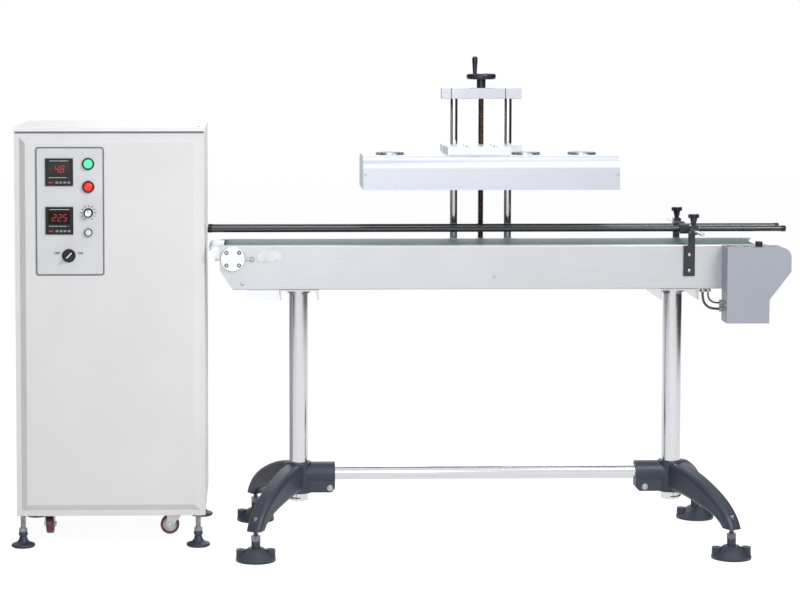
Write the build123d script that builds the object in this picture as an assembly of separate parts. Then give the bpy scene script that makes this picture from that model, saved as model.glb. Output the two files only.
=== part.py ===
from build123d import *
import math
import os

# An induction cap sealer: a power cabinet stands beside a belt conveyor that
# carries bottles under a sealing head, which a hand screw raises and lowers.
# X runs along the belt, Y away from the operator and Z up. While it is being
# built, X = 0 is the tail pulley's axis, Y = 0 the belt's centreline and Z = 0
# the floor. The last step moves all of it to the bottom centre of its own box.
# Every size is in millimetres.

# Fits and gaps
RUNNING_FIT = 0.05
SIDE_PLAY = 0.3
STATIC_FIT = 0.1

# Cabinet
CABINET_WIDTH = 496.0
CABINET_DEPTH = 415.0
CABINET_FRONT_Y = -85.0
CABINET_BOTTOM_Z = 84.0
CABINET_TOP_Z = 1099.0
CABINET_TO_CONVEYOR = 40.0
CABINET_SHEET = 2.0
CABINET_FLOOR = 3.0
LID_HEIGHT = 11.0
LID_LIP = 1.5
PANEL_SIDE_MARGIN = 13.0
PANEL_END_MARGIN = 15.0
PANEL_BEVEL = 16.0
PANEL_RISE = 10.0
PANEL_FLANGE = 10.0
LOUVRE_COUNT = 8
LOUVRE_PITCH = 16.0
LOUVRE_WIDTH = 220.0
LOUVRE_HEIGHT = 5.0
LOUVRE_FIRST_Z = 860.0

# Control area of the cabinet's front panel, from the cabinet's right side
PLATE_WIDTH = 179.0
PLATE_HEIGHT = 337.0
PLATE_CENTRE_IN = 350.5
PLATE_CENTRE_Z = 890.5
PLATE_CORNER = 8.0
PLATE_RISE = 1.0
METER_SIZE = 72.0
METER_BODY = 66.0
METER_BODY_DEPTH = 60.0
METER_BEZEL = 5.0
METER_RECESS = 1.5
METER_WINDOW = (58.0, 34.0)
METER_IN = 378.0
METER_Z = (993.0, 866.0)
SWITCH_IN = 302.5
LAMP_Z = (1014.5, 954.5)
LAMP_BEZEL_RADIUS = 16.0
LAMP_BEZEL_DEPTH = 5.0
LAMP_LENS_RADIUS = 12.0
LAMP_LENS_DEPTH = 11.0
LAMP_BARREL_RADIUS = 10.5
LAMP_BARREL_DEPTH = 34.0
DIAL_Z = 886.5
DIAL_KNOB_RADIUS = 10.0
DIAL_KNOB_DEPTH = 15.0
DIAL_SKIRT_RADIUS = 12.5
DIAL_SKIRT_DEPTH = 4.0
DIAL_SHAFT_RADIUS = 3.0
DIAL_POT_RADIUS = 14.0
DIAL_POT_DEPTH = 12.0
RESET_Z = 835.0
RESET_CAP_RADIUS = 8.0
RESET_COLLAR_RADIUS = 10.5
RESET_BARREL_RADIUS = 9.5
RESET_COLLAR_DEPTH = 6.5
RESET_TRAVEL = 3.0
RESET_BARREL_DEPTH = 28.0
SELECTOR_IN = 354.0
SELECTOR_Z = 774.5
SELECTOR_COLLAR_RADIUS = 17.5
SELECTOR_COLLAR_DEPTH = 5.0
SELECTOR_BARREL_RADIUS = 11.0
SELECTOR_SHAFT_RADIUS = 7.0
SELECTOR_HUB_RADIUS = 13.0
SELECTOR_BAR = (9.0, 25.0, 13.0)
SELECTOR_REST_DEG = 45.0
SELECTOR_BARREL_DEPTH = 40.0

# Cabinet's levelling feet and casters
FOOT_INSET = (15.0, 19.0)
FOOT_SETBACK = (12.0, 27.0)
FOOT_RADIUS = 31.5
FOOT_RIM = 4.0
FOOT_DOME_Z = 26.0
FOOT_HUB_RADIUS = 9.5
FOOT_HUB_Z = 40.0
STUD_RADIUS = 6.0
CABINET_STUD_RADIUS = 7.0
NUT_FLATS = 19.0
NUT_HEIGHT = 10.0
CABINET_STUD_TOP = 104.0
CASTER_INSET = 83.0
CASTER_SETBACK = 43.0
CASTER_PLATE = 62.0
CASTER_PLATE_THICK = 3.0
CASTER_WHEEL_RADIUS = 25.0
CASTER_WHEEL_WIDTH = 19.0
CASTER_WHEEL_Z = 51.5
CASTER_TRAIL = 12.0
CASTER_LEG_THICK = 2.5
CASTER_HEAD_RADIUS = 19.0
CASTER_PIN_RADIUS = 4.0
CASTER_AXLE_RADIUS = 4.0
CASTER_TREAD = 6.0
CASTER_REST_DEG = {"front_left": 90.0, "front_right": 180.0, "rear_left": 120.0, "rear_right": 60.0}

# Power module on the cabinet's floor
MODULE_SIZE = (300.0, 250.0, 220.0)
MODULE_FIN_COUNT = 11
MODULE_FIN = (4.0, 40.0)

# Conveyor
PULLEY_SPAN = 1368.0
BELT_TOP_Z = 800.0
BELT_SIDE_GAP = 23.0
BELT_THICK = 3.0
BELT_LOOP_RADIUS = 31.0
FRAME_HALF_WIDTH = 106.0
SIDE_SHEET = 3.0
SIDE_HEIGHT = 116.0
SIDE_FLANGE = 22.0
SIDE_END = 34.0
SIDE_CHAMFER = (34.0, 51.0)
BED_SHEET = 2.5
BED_FLANGE = 30.0
BED_END_GAP = 9.0
SHAFT_RADIUS = 7.5
BEARING_RADIUS = 32.5
DRIVE_BEARING_RADIUS = 29.0
BEARING_THICK = 10.0
BEARING_SKIN = 3.0
PULLEY_CROWN = 0.8
RETURN_RADIUS = 15.0
RETURN_PIN_RADIUS = 5.0
NOSE_REACH = 30.0
NOSE_SHEET = 2.0
NOSE_DROP = 27.0
NOSE_RADIUS = 12.0
NOSE_BACK = 24.0
TRAY_X = (38.0, 119.0)
TRAY_DEPTH = 26.0
TRAY_SHEET = 2.0

# Drive box, its gearmotor and the controls on its top
DRIVE_LEFT = 84.0
DRIVE_RIGHT = 83.0
DRIVE_LEG_WIDTH = 111.0
DRIVE_STEP_Z = 663.0
DRIVE_SHOULDER_Z = 736.0
DRIVE_TOP_GAP = 1.0
DRIVE_BOTTOM_Z = 601.0
DRIVE_DEPTH = 70.0
DRIVE_CORNER = 26.0
DRIVE_SHEET = 2.0
GEARBOX_SIZE = (88.0, 54.0, 72.0)
GEARBOX_GAP = 6.0
WORM_OFFSET = 28.0
MOTOR_RADIUS = 29.0
MOTOR_END_GAP = 5.0
SPEED_KNOB_RADIUS = 9.0
SPEED_KNOB_HEIGHT = 13.0
SPEED_KNOB_X = 5.0
SPEED_KNOB_IN = 36.0
SPEED_SHAFT_RADIUS = 3.0
ROCKER_SIZE = (20.0, 12.0)
ROCKER_X = -68.0
ROCKER_TRAVEL_DEG = 8.0
ROCKER_PIN_RADIUS = 1.5
ROCKER_WELL = 14.0
LEAD_RADIUS = 3.5
SIGNAL_RADIUS = 2.5
GLAND_RADIUS = 6.5
GLAND_LENGTH = 8.0
GLAND_TOP_LENGTH = 9.0
LEAD_TO_BOX = (48.0, 34.0)
LEAD_INSIDE = 11.0
LEAD_OUTSIDE = 7.0
LEAD_GLAND_Z = (52.0, 36.0)
REAR_GLAND_RADIUS = 14.0
REAR_GLAND_LENGTH = 22.0
REAR_GLAND_SPREAD = 90.0
REAR_GLAND_RISE = 70.0

# Stand
LEG_INSETS = (174.0, 194.0)
LEG_RADIUS = 25.4
LEG_WALL = 2.0
LEG_BOTTOM_Z = 108.0
SADDLE_HALF = 51.0
SADDLE_THICK = 4.0
SADDLE_DROP = 28.0
SADDLE_COLLAR_RADIUS = 31.0
SADDLE_COLLAR = 14.0
HUB_RADIUS = 35.0
HUB_Z = (128.0, 211.0)
FOOT_OUT = 115.0
FOOT_SPREAD = 240.0
ARM_CORNER = 13.0
ARM_END_Z = 77.0
ARM_STATIONS = [
    (0.05, 168.0, 4.0, 50.0, 78.0),
    (0.38, 160.0, 16.0, 49.0, 67.0),
    (0.68, 136.0, 34.0, 46.0, 56.0),
    (0.89, 108.0, 62.0, 43.0, 47.0),
    (1.0, ARM_END_Z, 90.0, 41.0, 41.0),
]
STRETCHER_RADIUS = 19.0
STRETCHER_WALL = 2.0
STRETCHER_Z = 180.0
SLEEVE_RADIUS = 29.0
SLEEVE_REACH = 97.0
SLEEVE_KEEL = (44.0, 50.0)
SLEEVE_CHAMFER = 10.0
SLEEVE_STOP = 38.0
STAND_FOOT_RADIUS = 51.5
STAND_FOOT_RIM = 6.0
STAND_FOOT_DOME_Z = 33.0
STAND_FOOT_HUB = 11.5
STAND_FOOT_HUB_Z = 50.0
STAND_STUD_TOP = 112.0
ANCHOR_RADIUS = 12.5
ANCHOR_OFFSET = 38.0
ANCHOR_HEIGHT = 29.0
ANCHOR_HOLE = 4.5
STAND_NUT_FLATS = 21.0
STAND_NUT_HEIGHT = 15.0

# Sealing head
HEAD_LENGTH = 673.0
HEAD_SHIFT = -6.5
HEAD_TO_COLUMNS = 25.0
HEAD_BOTTOM_Z = 945.0
HEAD_TOP_Z = 1034.0
HEAD_RADIUS = 32.0
HEAD_SHEET = 2.0
BASE_THICK = 8.0
COIL_LENGTH = 580.0
COIL_WIDTH = 136.0
COIL_SECTION = 8.0
COIL_PITCH = 15.0
COIL_TURNS = 3
COIL_GAP = 4.0
COIL_CORNER = 22.0
FAN_SHIFTS = (-261.5, 99.5, 247.5)
FAN_Y = -15.0
FAN_SIZE = 80.0
FAN_DEPTH = 25.0
FAN_BORE = 37.5
FAN_HUB = 17.0
FAN_BLADES = 7
FAN_GUARD_RISE = 5.0
FAN_GUARD_RINGS = (12.0, 20.0, 28.0)
FAN_PIN_RADIUS = 2.0

# Head lift
COLUMN_SPACING = 147.0
LIFT_SHIFT = -12.0
LIFT_SETBACK = 24.0
COLUMN_RADIUS = 10.0
SCREW_RADIUS = 8.0
SCREW_JOURNAL = 6.0
CARRIAGE_THICK = 20.0
CARRIAGE_SIDE = 34.5
CARRIAGE_FRONT = 40.0
CARRIAGE_REAR = 30.0
CARRIAGE_NOSE_SIDES = (104.5, 63.0)
CARRIAGE_NOSE = 175.0
BUSH_RADIUS = 16.0
BUSH_LENGTH = 49.0
CROSSBAR_Z = (1177.0, 1206.0)
CROSSBAR_DEPTH = 40.0
CROSSBAR_SIDE = 34.5
CROSSBAR_SLIT = 2.0
BRACKET_SIDE = 34.0
BRACKET_BACK = 8.0
BRACKET_REACH = 44.0
BRACKET_Z = (690.0, 790.0)
BRACKET_SHELF = 20.0
WHEEL_RADIUS = 40.0
WHEEL_HUB_RADIUS = 12.0
WHEEL_HUB = 23.0
WHEEL_THICK = 16.0
WHEEL_RIM = 8.0
WHEEL_SPOKES = 3
GRIP_RADIUS = 29.0
GRIP_DEG = 228.0
GRIP_LENGTH = 46.0
GRIP_BASE_RADIUS = 5.5
GRIP_TOP_RADIUS = 7.5
GRIP_PIN_RADIUS = 2.5

# Guide rails
RAIL_OVERHANG = (33.0, 64.0)
RAIL_Y = 40.0
RAIL_Z = 837.0
RAIL_RADIUS = 7.5
ARM_INSET = 162.0
ARM_RADIUS = 5.0
ARM_Z = 839.0
ARM_REACH = 240.0
ARM_BLOCK = (27.5, 26.0, 25.0)
ARM_BLOCK_SHIFT = -8.75
UPRIGHT_SIDES = (24.0, 6.0)
UPRIGHT_NECK = 18.0
UPRIGHT_THICK = 4.0
UPRIGHT_Z = (718.0, 798.0)
UPRIGHT_BOLTS_Z = (732.5, 774.5)
UPRIGHT_BOLT_SHIFT = -9.0
UPRIGHT_BOLT_RADIUS = 3.5
CLAMP_WIDTH = 20.0
CLAMP_DEPTH = 22.0
CLAMP_Z = (828.0, 854.0)
STAR_RADIUS = 10.0
STAR_LOBE = 4.5
STAR_LOBES = 4
STAR_HEIGHT = 10.0
STAR_NECK = 18.0
STAR_STUD_RADIUS = 4.0

# Places worked out from the sizes above
PULLEY_Z = BELT_TOP_Z - BELT_THICK - BELT_LOOP_RADIUS
SIDE_BOTTOM_Z = BELT_TOP_Z - SIDE_HEIGHT
SIDE_INNER = FRAME_HALF_WIDTH - SIDE_SHEET
SIDE_X = (-SIDE_END, PULLEY_SPAN + SIDE_END)
BELT_WIDTH = 2 * (SIDE_INNER - BELT_SIDE_GAP)
RETURN_X = PULLEY_SPAN / 2
LEG_X = (LEG_INSETS[0], PULLEY_SPAN - LEG_INSETS[1])
CABINET_X = (-SIDE_END - CABINET_TO_CONVEYOR - CABINET_WIDTH, -SIDE_END - CABINET_TO_CONVEYOR)
CABINET_Y = (CABINET_FRONT_Y, CABINET_FRONT_Y + CABINET_DEPTH)
PANEL_FACE_Y = CABINET_FRONT_Y - PANEL_RISE - PLATE_RISE
PANEL_BACK_Y = CABINET_FRONT_Y - PANEL_RISE + CABINET_SHEET
METER_X = CABINET_X[1] - METER_IN
SWITCH_X = CABINET_X[1] - SWITCH_IN
SELECTOR_X = CABINET_X[1] - SELECTOR_IN
DRIVE_X = (PULLEY_SPAN - DRIVE_LEFT, PULLEY_SPAN + DRIVE_RIGHT)
DRIVE_Y = (-FRAME_HALF_WIDTH - DRIVE_DEPTH, -FRAME_HALF_WIDTH)
DRIVE_TOP_Z = BELT_TOP_Z - DRIVE_TOP_GAP
DRIVE_MID_Y = (DRIVE_Y[0] + DRIVE_Y[1]) / 2
SCREW_X = PULLEY_SPAN / 2 + LIFT_SHIFT
LIFT_Y = FRAME_HALF_WIDTH + LIFT_SETBACK
COLUMN_X = (SCREW_X - COLUMN_SPACING / 2, SCREW_X + COLUMN_SPACING / 2)
HEAD_MID_X = PULLEY_SPAN / 2 + HEAD_SHIFT
HEAD_X = (HEAD_MID_X - HEAD_LENGTH / 2, HEAD_MID_X + HEAD_LENGTH / 2)
HEAD_WIDTH = 2 * (LIFT_Y - HEAD_TO_COLUMNS)
FAN_X = [HEAD_MID_X + shift for shift in FAN_SHIFTS]
CARRIAGE_Z = (HEAD_TOP_Z, HEAD_TOP_Z + CARRIAGE_THICK)
CARRIAGE_Y = (LIFT_Y - CARRIAGE_FRONT, LIFT_Y + CARRIAGE_REAR)
CARRIAGE_NOSE_X = (SCREW_X - CARRIAGE_NOSE_SIDES[0], SCREW_X + CARRIAGE_NOSE_SIDES[1])
CARRIAGE_NOSE_Y = LIFT_Y - CARRIAGE_NOSE
RAIL_X = (SIDE_X[0] - RAIL_OVERHANG[0], SIDE_X[1] + RAIL_OVERHANG[1])
ARM_X = PULLEY_SPAN - ARM_INSET
UPRIGHT_X = (ARM_X - UPRIGHT_SIDES[0], ARM_X + UPRIGHT_SIDES[1])
UPRIGHT_BOLT_X = ARM_X + UPRIGHT_BOLT_SHIFT
CLAMP_Y = (FRAME_HALF_WIDTH, FRAME_HALF_WIDTH + CLAMP_DEPTH)
STAR_Z = CLAMP_Z[1] + STAR_NECK


# Building blocks

def block(x, y, z):
    """A block between two limits along each axis."""
    size = Box(x[1] - x[0], y[1] - y[0], z[1] - z[0])
    return Pos((x[0] + x[1]) / 2, (y[0] + y[1]) / 2, (z[0] + z[1]) / 2) * size


def bar_x(x, y, z, radius):
    """A round bar along X between two limits."""
    return Pos((x[0] + x[1]) / 2, y, z) * Rot(0, 90, 0) * Cylinder(radius, x[1] - x[0])


def bar_y(x, y, z, radius):
    """A round bar along Y between two limits."""
    return Pos(x, (y[0] + y[1]) / 2, z) * Rot(90, 0, 0) * Cylinder(radius, y[1] - y[0])


def bar_z(x, y, z, radius):
    """A round bar along Z between two limits."""
    return Pos(x, y, (z[0] + z[1]) / 2) * Cylinder(radius, z[1] - z[0])


def prism_y(profile, y):
    """A flat X-Z profile carried along Y between two limits."""
    plane = Plane(origin=(0, y[1], 0), x_dir=(1, 0, 0), z_dir=(0, -1, 0))
    return extrude(plane * profile, y[1] - y[0])


def prism_x(profile, x):
    """A flat Y-Z profile carried along X between two limits."""
    plane = Plane(origin=(x[0], 0, 0), x_dir=(0, 1, 0), z_dir=(1, 0, 0))
    return extrude(plane * profile, x[1] - x[0])


def turned(points):
    """A solid turned about Z from pairs of radius and height."""
    outline = Polyline(*[(radius, 0, height) for radius, height in points], close=True)
    return revolve(make_face(outline), Axis.Z)


def hexagon(x, y, z, flats):
    """A hexagon nut's body between two heights."""
    return Pos(x, y, z[0]) * extrude(RegularPolygon(flats / 2, 6, major_radius=False), z[1] - z[0])


def mirrored_pair(solid):
    """A solid and its mirror image across the belt's centreline, as separate solids."""
    return [solid, mirror(solid, Plane.XZ)]


# Cabinet

def cabinet_shell():
    """Folded sheet body: floor, sides and back, a front frame, louvres and caster plates."""
    inner_x = (CABINET_X[0] + CABINET_SHEET, CABINET_X[1] - CABINET_SHEET)
    inner_y = (CABINET_Y[0] + CABINET_SHEET, CABINET_Y[1] - CABINET_SHEET)
    body = block(CABINET_X, CABINET_Y, (CABINET_BOTTOM_Z, CABINET_TOP_Z))
    body -= block(inner_x, inner_y, (CABINET_BOTTOM_Z + CABINET_FLOOR, CABINET_TOP_Z + 1))
    edge = PANEL_SIDE_MARGIN + PANEL_BEVEL + PANEL_FLANGE
    end = PANEL_END_MARGIN + PANEL_BEVEL + PANEL_FLANGE
    body -= block(
        (CABINET_X[0] + edge, CABINET_X[1] - edge),
        (CABINET_Y[0] - 1, CABINET_Y[0] + CABINET_SHEET + 1),
        (CABINET_BOTTOM_Z + end, CABINET_TOP_Z - end),
    )
    middle = (CABINET_X[0] + CABINET_X[1]) / 2
    for row in range(LOUVRE_COUNT):
        low = LOUVRE_FIRST_Z + row * LOUVRE_PITCH
        body -= block(
            (middle - LOUVRE_WIDTH / 2, middle + LOUVRE_WIDTH / 2),
            (CABINET_Y[1] - CABINET_SHEET - 1, CABINET_Y[1] + 1),
            (low, low + LOUVRE_HEIGHT),
        )
    under = (CABINET_BOTTOM_Z - CASTER_PLATE_THICK, CABINET_BOTTOM_Z)
    for x, y in caster_places().values():
        half = CASTER_PLATE / 2
        body += block((x - half, x + half), (y - half, y + half), under)
        body -= bar_z(x, y, (under[0] - 1, under[1] + CABINET_FLOOR + 1), CASTER_PIN_RADIUS + RUNNING_FIT)
    for x, y in cabinet_foot_places():
        body -= bar_z(x, y, (under[0] - 1, under[1] + CABINET_FLOOR + 1), CABINET_STUD_RADIUS + RUNNING_FIT)
    return body


def cabinet_lid():
    """Shallow lid pan with a turned-down edge that laps over the body."""
    outer = block(
        (CABINET_X[0] - LID_LIP, CABINET_X[1] + LID_LIP),
        (CABINET_Y[0] - LID_LIP, CABINET_Y[1] + LID_LIP),
        (CABINET_TOP_Z, CABINET_TOP_Z + LID_HEIGHT),
    )
    outer = fillet(outer.edges().group_by(Axis.Z)[-1], 1.5)
    hollow = block(
        (CABINET_X[0] + CABINET_SHEET, CABINET_X[1] - CABINET_SHEET),
        (CABINET_Y[0] + CABINET_SHEET, CABINET_Y[1] - CABINET_SHEET),
        (CABINET_TOP_Z - 1, CABINET_TOP_Z + LID_HEIGHT - CABINET_SHEET),
    )
    return outer - hollow


def panel_pan(inset, back, front, bevel):
    """A pyramid block with mitred bevels on the cabinet's front."""
    x = (CABINET_X[0] + PANEL_SIDE_MARGIN + inset, CABINET_X[1] - PANEL_SIDE_MARGIN - inset)
    z = (CABINET_BOTTOM_Z + PANEL_END_MARGIN + inset, CABINET_TOP_Z - PANEL_END_MARGIN - inset)
    centre = ((x[0] + x[1]) / 2, (z[0] + z[1]) / 2)
    faces = []
    for y, narrow in ((back, 0.0), (front, bevel)):
        plane = Plane(origin=(centre[0], y, centre[1]), x_dir=(1, 0, 0), z_dir=(0, -1, 0))
        faces.append(plane * Rectangle(x[1] - x[0] - 2 * narrow, z[1] - z[0] - 2 * narrow))
    return loft(faces, ruled=True)


def front_panel():
    """Raised front panel: a pressed pan with bevelled, mitred edges and a control area."""
    face_y = CABINET_FRONT_Y - PANEL_RISE
    pan = panel_pan(0.0, CABINET_FRONT_Y, face_y, PANEL_BEVEL)
    pan -= panel_pan(CABINET_SHEET * 1.5, CABINET_FRONT_Y, PANEL_BACK_Y, PANEL_BEVEL * 0.8)
    plate_x = CABINET_X[1] - PLATE_CENTRE_IN
    pad = Pos(plate_x, PLATE_CENTRE_Z) * RectangleRounded(PLATE_WIDTH, PLATE_HEIGHT, PLATE_CORNER)
    pan += prism_y(pad, (PANEL_FACE_Y, face_y + CABINET_SHEET / 2))
    through = (PANEL_FACE_Y - 1, PANEL_BACK_Y + 1)
    half = METER_BODY / 2 + STATIC_FIT
    for z in METER_Z:
        pan -= block((METER_X - half, METER_X + half), through, (z - half, z + half))
    for z in LAMP_Z:
        pan -= bar_y(SWITCH_X, through, z, LAMP_BARREL_RADIUS + STATIC_FIT)
    pan -= bar_y(SWITCH_X, through, DIAL_Z, DIAL_SHAFT_RADIUS + RUNNING_FIT)
    pan -= bar_y(SWITCH_X, through, RESET_Z, RESET_BARREL_RADIUS + STATIC_FIT)
    pan -= bar_y(SELECTOR_X, through, SELECTOR_Z, SELECTOR_BARREL_RADIUS + STATIC_FIT)
    return pan


def panel_meters():
    """Two square panel meters, each with a recessed display window."""
    meters = []
    for z in METER_Z:
        half = METER_SIZE / 2
        depth = (PANEL_FACE_Y - METER_BEZEL, PANEL_FACE_Y)
        bezel = block((METER_X - half, METER_X + half), depth, (z - half, z + half))
        bezel = chamfer(bezel.faces().sort_by(Axis.Y)[0].edges(), 1.5)
        window = METER_WINDOW
        bezel -= block(
            (METER_X - window[0] / 2, METER_X + window[0] / 2),
            (PANEL_FACE_Y - METER_BEZEL - 1, PANEL_FACE_Y - METER_BEZEL + METER_RECESS),
            (z - window[1] / 2 + 8, z + window[1] / 2 + 8),
        )
        inside = METER_BODY / 2
        bezel += block(
            (METER_X - inside, METER_X + inside),
            (PANEL_FACE_Y, PANEL_FACE_Y + METER_BODY_DEPTH),
            (z - inside, z + inside),
        )
        meters.append(bezel)
    return meters


def panel_fittings():
    """Meters, lamp holders, the collars of the button and the selector, the dial's body."""
    parts = panel_meters()
    face = PANEL_FACE_Y
    for z in LAMP_Z:
        ring = bar_y(SWITCH_X, (face - LAMP_BEZEL_DEPTH, face), z, LAMP_BEZEL_RADIUS)
        ring = chamfer(ring.faces().sort_by(Axis.Y)[0].edges(), 1.5)
        ring += bar_y(SWITCH_X, (face, face + LAMP_BARREL_DEPTH), z, LAMP_BARREL_RADIUS)
        ring -= bar_y(SWITCH_X, (face - LAMP_BEZEL_DEPTH - 1, face - 1), z, LAMP_LENS_RADIUS)
        parts.append(ring)
    collar = bar_y(SWITCH_X, (face - RESET_COLLAR_DEPTH, face), RESET_Z, RESET_COLLAR_RADIUS)
    collar += bar_y(SWITCH_X, (face, face + RESET_BARREL_DEPTH), RESET_Z, RESET_BARREL_RADIUS)
    well = (face - RESET_COLLAR_DEPTH - 1, face + RESET_BARREL_DEPTH - 4)
    collar -= bar_y(SWITCH_X, well, RESET_Z, RESET_CAP_RADIUS + RUNNING_FIT)
    parts.append(collar)
    collar = bar_y(SELECTOR_X, (face - SELECTOR_COLLAR_DEPTH, face), SELECTOR_Z, SELECTOR_COLLAR_RADIUS)
    collar = chamfer(collar.faces().sort_by(Axis.Y)[0].edges(), 1.5)
    barrel = (face, face + SELECTOR_BARREL_DEPTH)
    collar += bar_y(SELECTOR_X, barrel, SELECTOR_Z, SELECTOR_BARREL_RADIUS)
    bore = (face - SELECTOR_COLLAR_DEPTH - 1, face + SELECTOR_BARREL_DEPTH - 10)
    collar -= bar_y(SELECTOR_X, bore, SELECTOR_Z, SELECTOR_SHAFT_RADIUS + RUNNING_FIT)
    parts.append(collar)
    pot = bar_y(SWITCH_X, (PANEL_BACK_Y, PANEL_BACK_Y + DIAL_POT_DEPTH), DIAL_Z, DIAL_POT_RADIUS)
    pot -= bar_y(
        SWITCH_X,
        (PANEL_BACK_Y - 1, PANEL_BACK_Y + DIAL_POT_DEPTH - 2),
        DIAL_Z,
        DIAL_SHAFT_RADIUS + RUNNING_FIT,
    )
    parts.append(pot)
    return parts


def signal_lamps():
    """Two domed lamp lenses seated in their holders."""
    lenses = []
    for z in LAMP_Z:
        seat = PANEL_FACE_Y - 1
        front = seat - LAMP_LENS_DEPTH
        lens = bar_y(SWITCH_X, (front, seat), z, LAMP_LENS_RADIUS - STATIC_FIT)
        lenses.append(fillet(lens.faces().sort_by(Axis.Y)[0].edges(), 4.5))
    return lenses


def power_knob():
    """Round dial knob with a skirt and a shaft through the panel."""
    face = PANEL_FACE_Y - SIDE_PLAY
    skirt = bar_y(SWITCH_X, (face - DIAL_SKIRT_DEPTH, face), DIAL_Z, DIAL_SKIRT_RADIUS)
    cap = bar_y(SWITCH_X, (face - DIAL_KNOB_DEPTH, face), DIAL_Z, DIAL_KNOB_RADIUS)
    cap = chamfer(cap.faces().sort_by(Axis.Y)[0].edges(), 1.0)
    shaft = (face, PANEL_BACK_Y + DIAL_POT_DEPTH - 4)
    knob = skirt + cap + bar_y(SWITCH_X, shaft, DIAL_Z, DIAL_SHAFT_RADIUS)
    mark = (face - DIAL_KNOB_DEPTH - 1, face - DIAL_KNOB_DEPTH + 0.8)
    return knob - block((SWITCH_X - 0.7, SWITCH_X + 0.7), mark, (DIAL_Z + 3, DIAL_Z + DIAL_KNOB_RADIUS + 1))


def reset_button():
    """Flush push button that slides in its collar."""
    front = PANEL_FACE_Y - RESET_COLLAR_DEPTH - RESET_TRAVEL + 1
    back = PANEL_FACE_Y + RESET_BARREL_DEPTH - 4 - RESET_TRAVEL - 2
    cap = bar_y(SWITCH_X, (front, back), RESET_Z, RESET_CAP_RADIUS)
    return fillet(cap.faces().sort_by(Axis.Y)[0].edges(), 1.2)


def selector_switch():
    """Rotary switch: a raised grip bar on a round hub, set at its rest angle."""
    face = PANEL_FACE_Y - SELECTOR_COLLAR_DEPTH - SIDE_PLAY
    width, length, depth = SELECTOR_BAR
    hub = bar_y(0, (face - 3, face), 0, SELECTOR_HUB_RADIUS)
    grip = block((-width / 2, width / 2), (face - depth, face), (-length / 2, length / 2))
    grip = chamfer(grip.faces().sort_by(Axis.Y)[0].edges(), 1.5)
    shaft = bar_y(0, (face, PANEL_FACE_Y + SELECTOR_BARREL_DEPTH - 14), 0, SELECTOR_SHAFT_RADIUS)
    return Pos(SELECTOR_X, 0, SELECTOR_Z) * Rot(0, SELECTOR_REST_DEG, 0) * (hub + grip + shaft)


def cabinet_foot_places():
    """Centres of the cabinet's four levelling feet."""
    xs = (CABINET_X[0] + FOOT_INSET[0], CABINET_X[1] - FOOT_INSET[1])
    ys = (CABINET_Y[0] + FOOT_SETBACK[0], CABINET_Y[1] - FOOT_SETBACK[1])
    return [(x, y) for y in ys for x in xs]


def caster_places():
    """Swivel axes of the four casters under the cabinet."""
    xs = (CABINET_X[0] + CASTER_INSET, CABINET_X[1] - CASTER_INSET)
    ys = (CABINET_Y[0] + CASTER_SETBACK, CABINET_Y[1] - CASTER_SETBACK)
    return {
        "front_left": (xs[0], ys[0]),
        "front_right": (xs[1], ys[0]),
        "rear_left": (xs[0], ys[1]),
        "rear_right": (xs[1], ys[1]),
    }


def cabinet_feet():
    """Four moulded levelling discs with a hub."""
    profile = [
        (0, 0),
        (FOOT_RADIUS, 0),
        (FOOT_RADIUS, FOOT_RIM),
        (FOOT_RADIUS * 0.72, FOOT_DOME_Z * 0.62),
        (FOOT_HUB_RADIUS + 2.5, FOOT_DOME_Z),
        (FOOT_HUB_RADIUS, FOOT_DOME_Z),
        (FOOT_HUB_RADIUS, FOOT_HUB_Z),
        (0, FOOT_HUB_Z),
    ]
    return [Pos(x, y, 0) * turned(profile) for x, y in cabinet_foot_places()]


def foot_studs():
    """Levelling studs with their nuts, under the cabinet and under the stand."""
    parts = []
    for x, y in cabinet_foot_places():
        stud = bar_z(x, y, (FOOT_HUB_Z, CABINET_STUD_TOP), CABINET_STUD_RADIUS)
        parts.append(stud + hexagon(x, y, (FOOT_HUB_Z, FOOT_HUB_Z + NUT_HEIGHT), NUT_FLATS))
    for x, y in stand_foot_places():
        stud = bar_z(x, y, (STAND_FOOT_HUB_Z, STAND_STUD_TOP), STUD_RADIUS)
        nut_z = (STAND_FOOT_HUB_Z, STAND_FOOT_HUB_Z + STAND_NUT_HEIGHT)
        parts.append(stud + hexagon(x, y, nut_z, STAND_NUT_FLATS))
    return parts


def caster_fork(place):
    """Pressed swivel fork with its kingpin and axle, wheel trailing at the rest angle."""
    x, y = caster_places()[place]
    head_top = CABINET_BOTTOM_Z - CASTER_PLATE_THICK - SIDE_PLAY
    head_low = head_top - 3.0
    inner = CASTER_WHEEL_WIDTH / 2 + 1.0
    outer = inner + CASTER_LEG_THICK
    cheek = make_face(
        Polyline(
            (-CASTER_HEAD_RADIUS, head_low),
            (CASTER_HEAD_RADIUS, head_low),
            (CASTER_TRAIL + 9.0, CASTER_WHEEL_Z),
            (CASTER_TRAIL - 9.0, CASTER_WHEEL_Z),
            close=True,
        )
    )
    cheek += Pos(CASTER_TRAIL, CASTER_WHEEL_Z) * Circle(9.0)
    fork = bar_z(0, 0, (head_low, head_top), CASTER_HEAD_RADIUS)
    for low in (-outer, inner):
        fork += prism_y(cheek, (low, low + CASTER_LEG_THICK))
    fork += bar_z(0, 0, (head_top - 1, CABINET_BOTTOM_Z + CABINET_FLOOR + 2), CASTER_PIN_RADIUS)
    fork += bar_y(CASTER_TRAIL, (-outer - 3.0, outer + 3.0), CASTER_WHEEL_Z, CASTER_AXLE_RADIUS)
    return Pos(x, y, 0) * Rot(0, 0, CASTER_REST_DEG[place]) * fork


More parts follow.
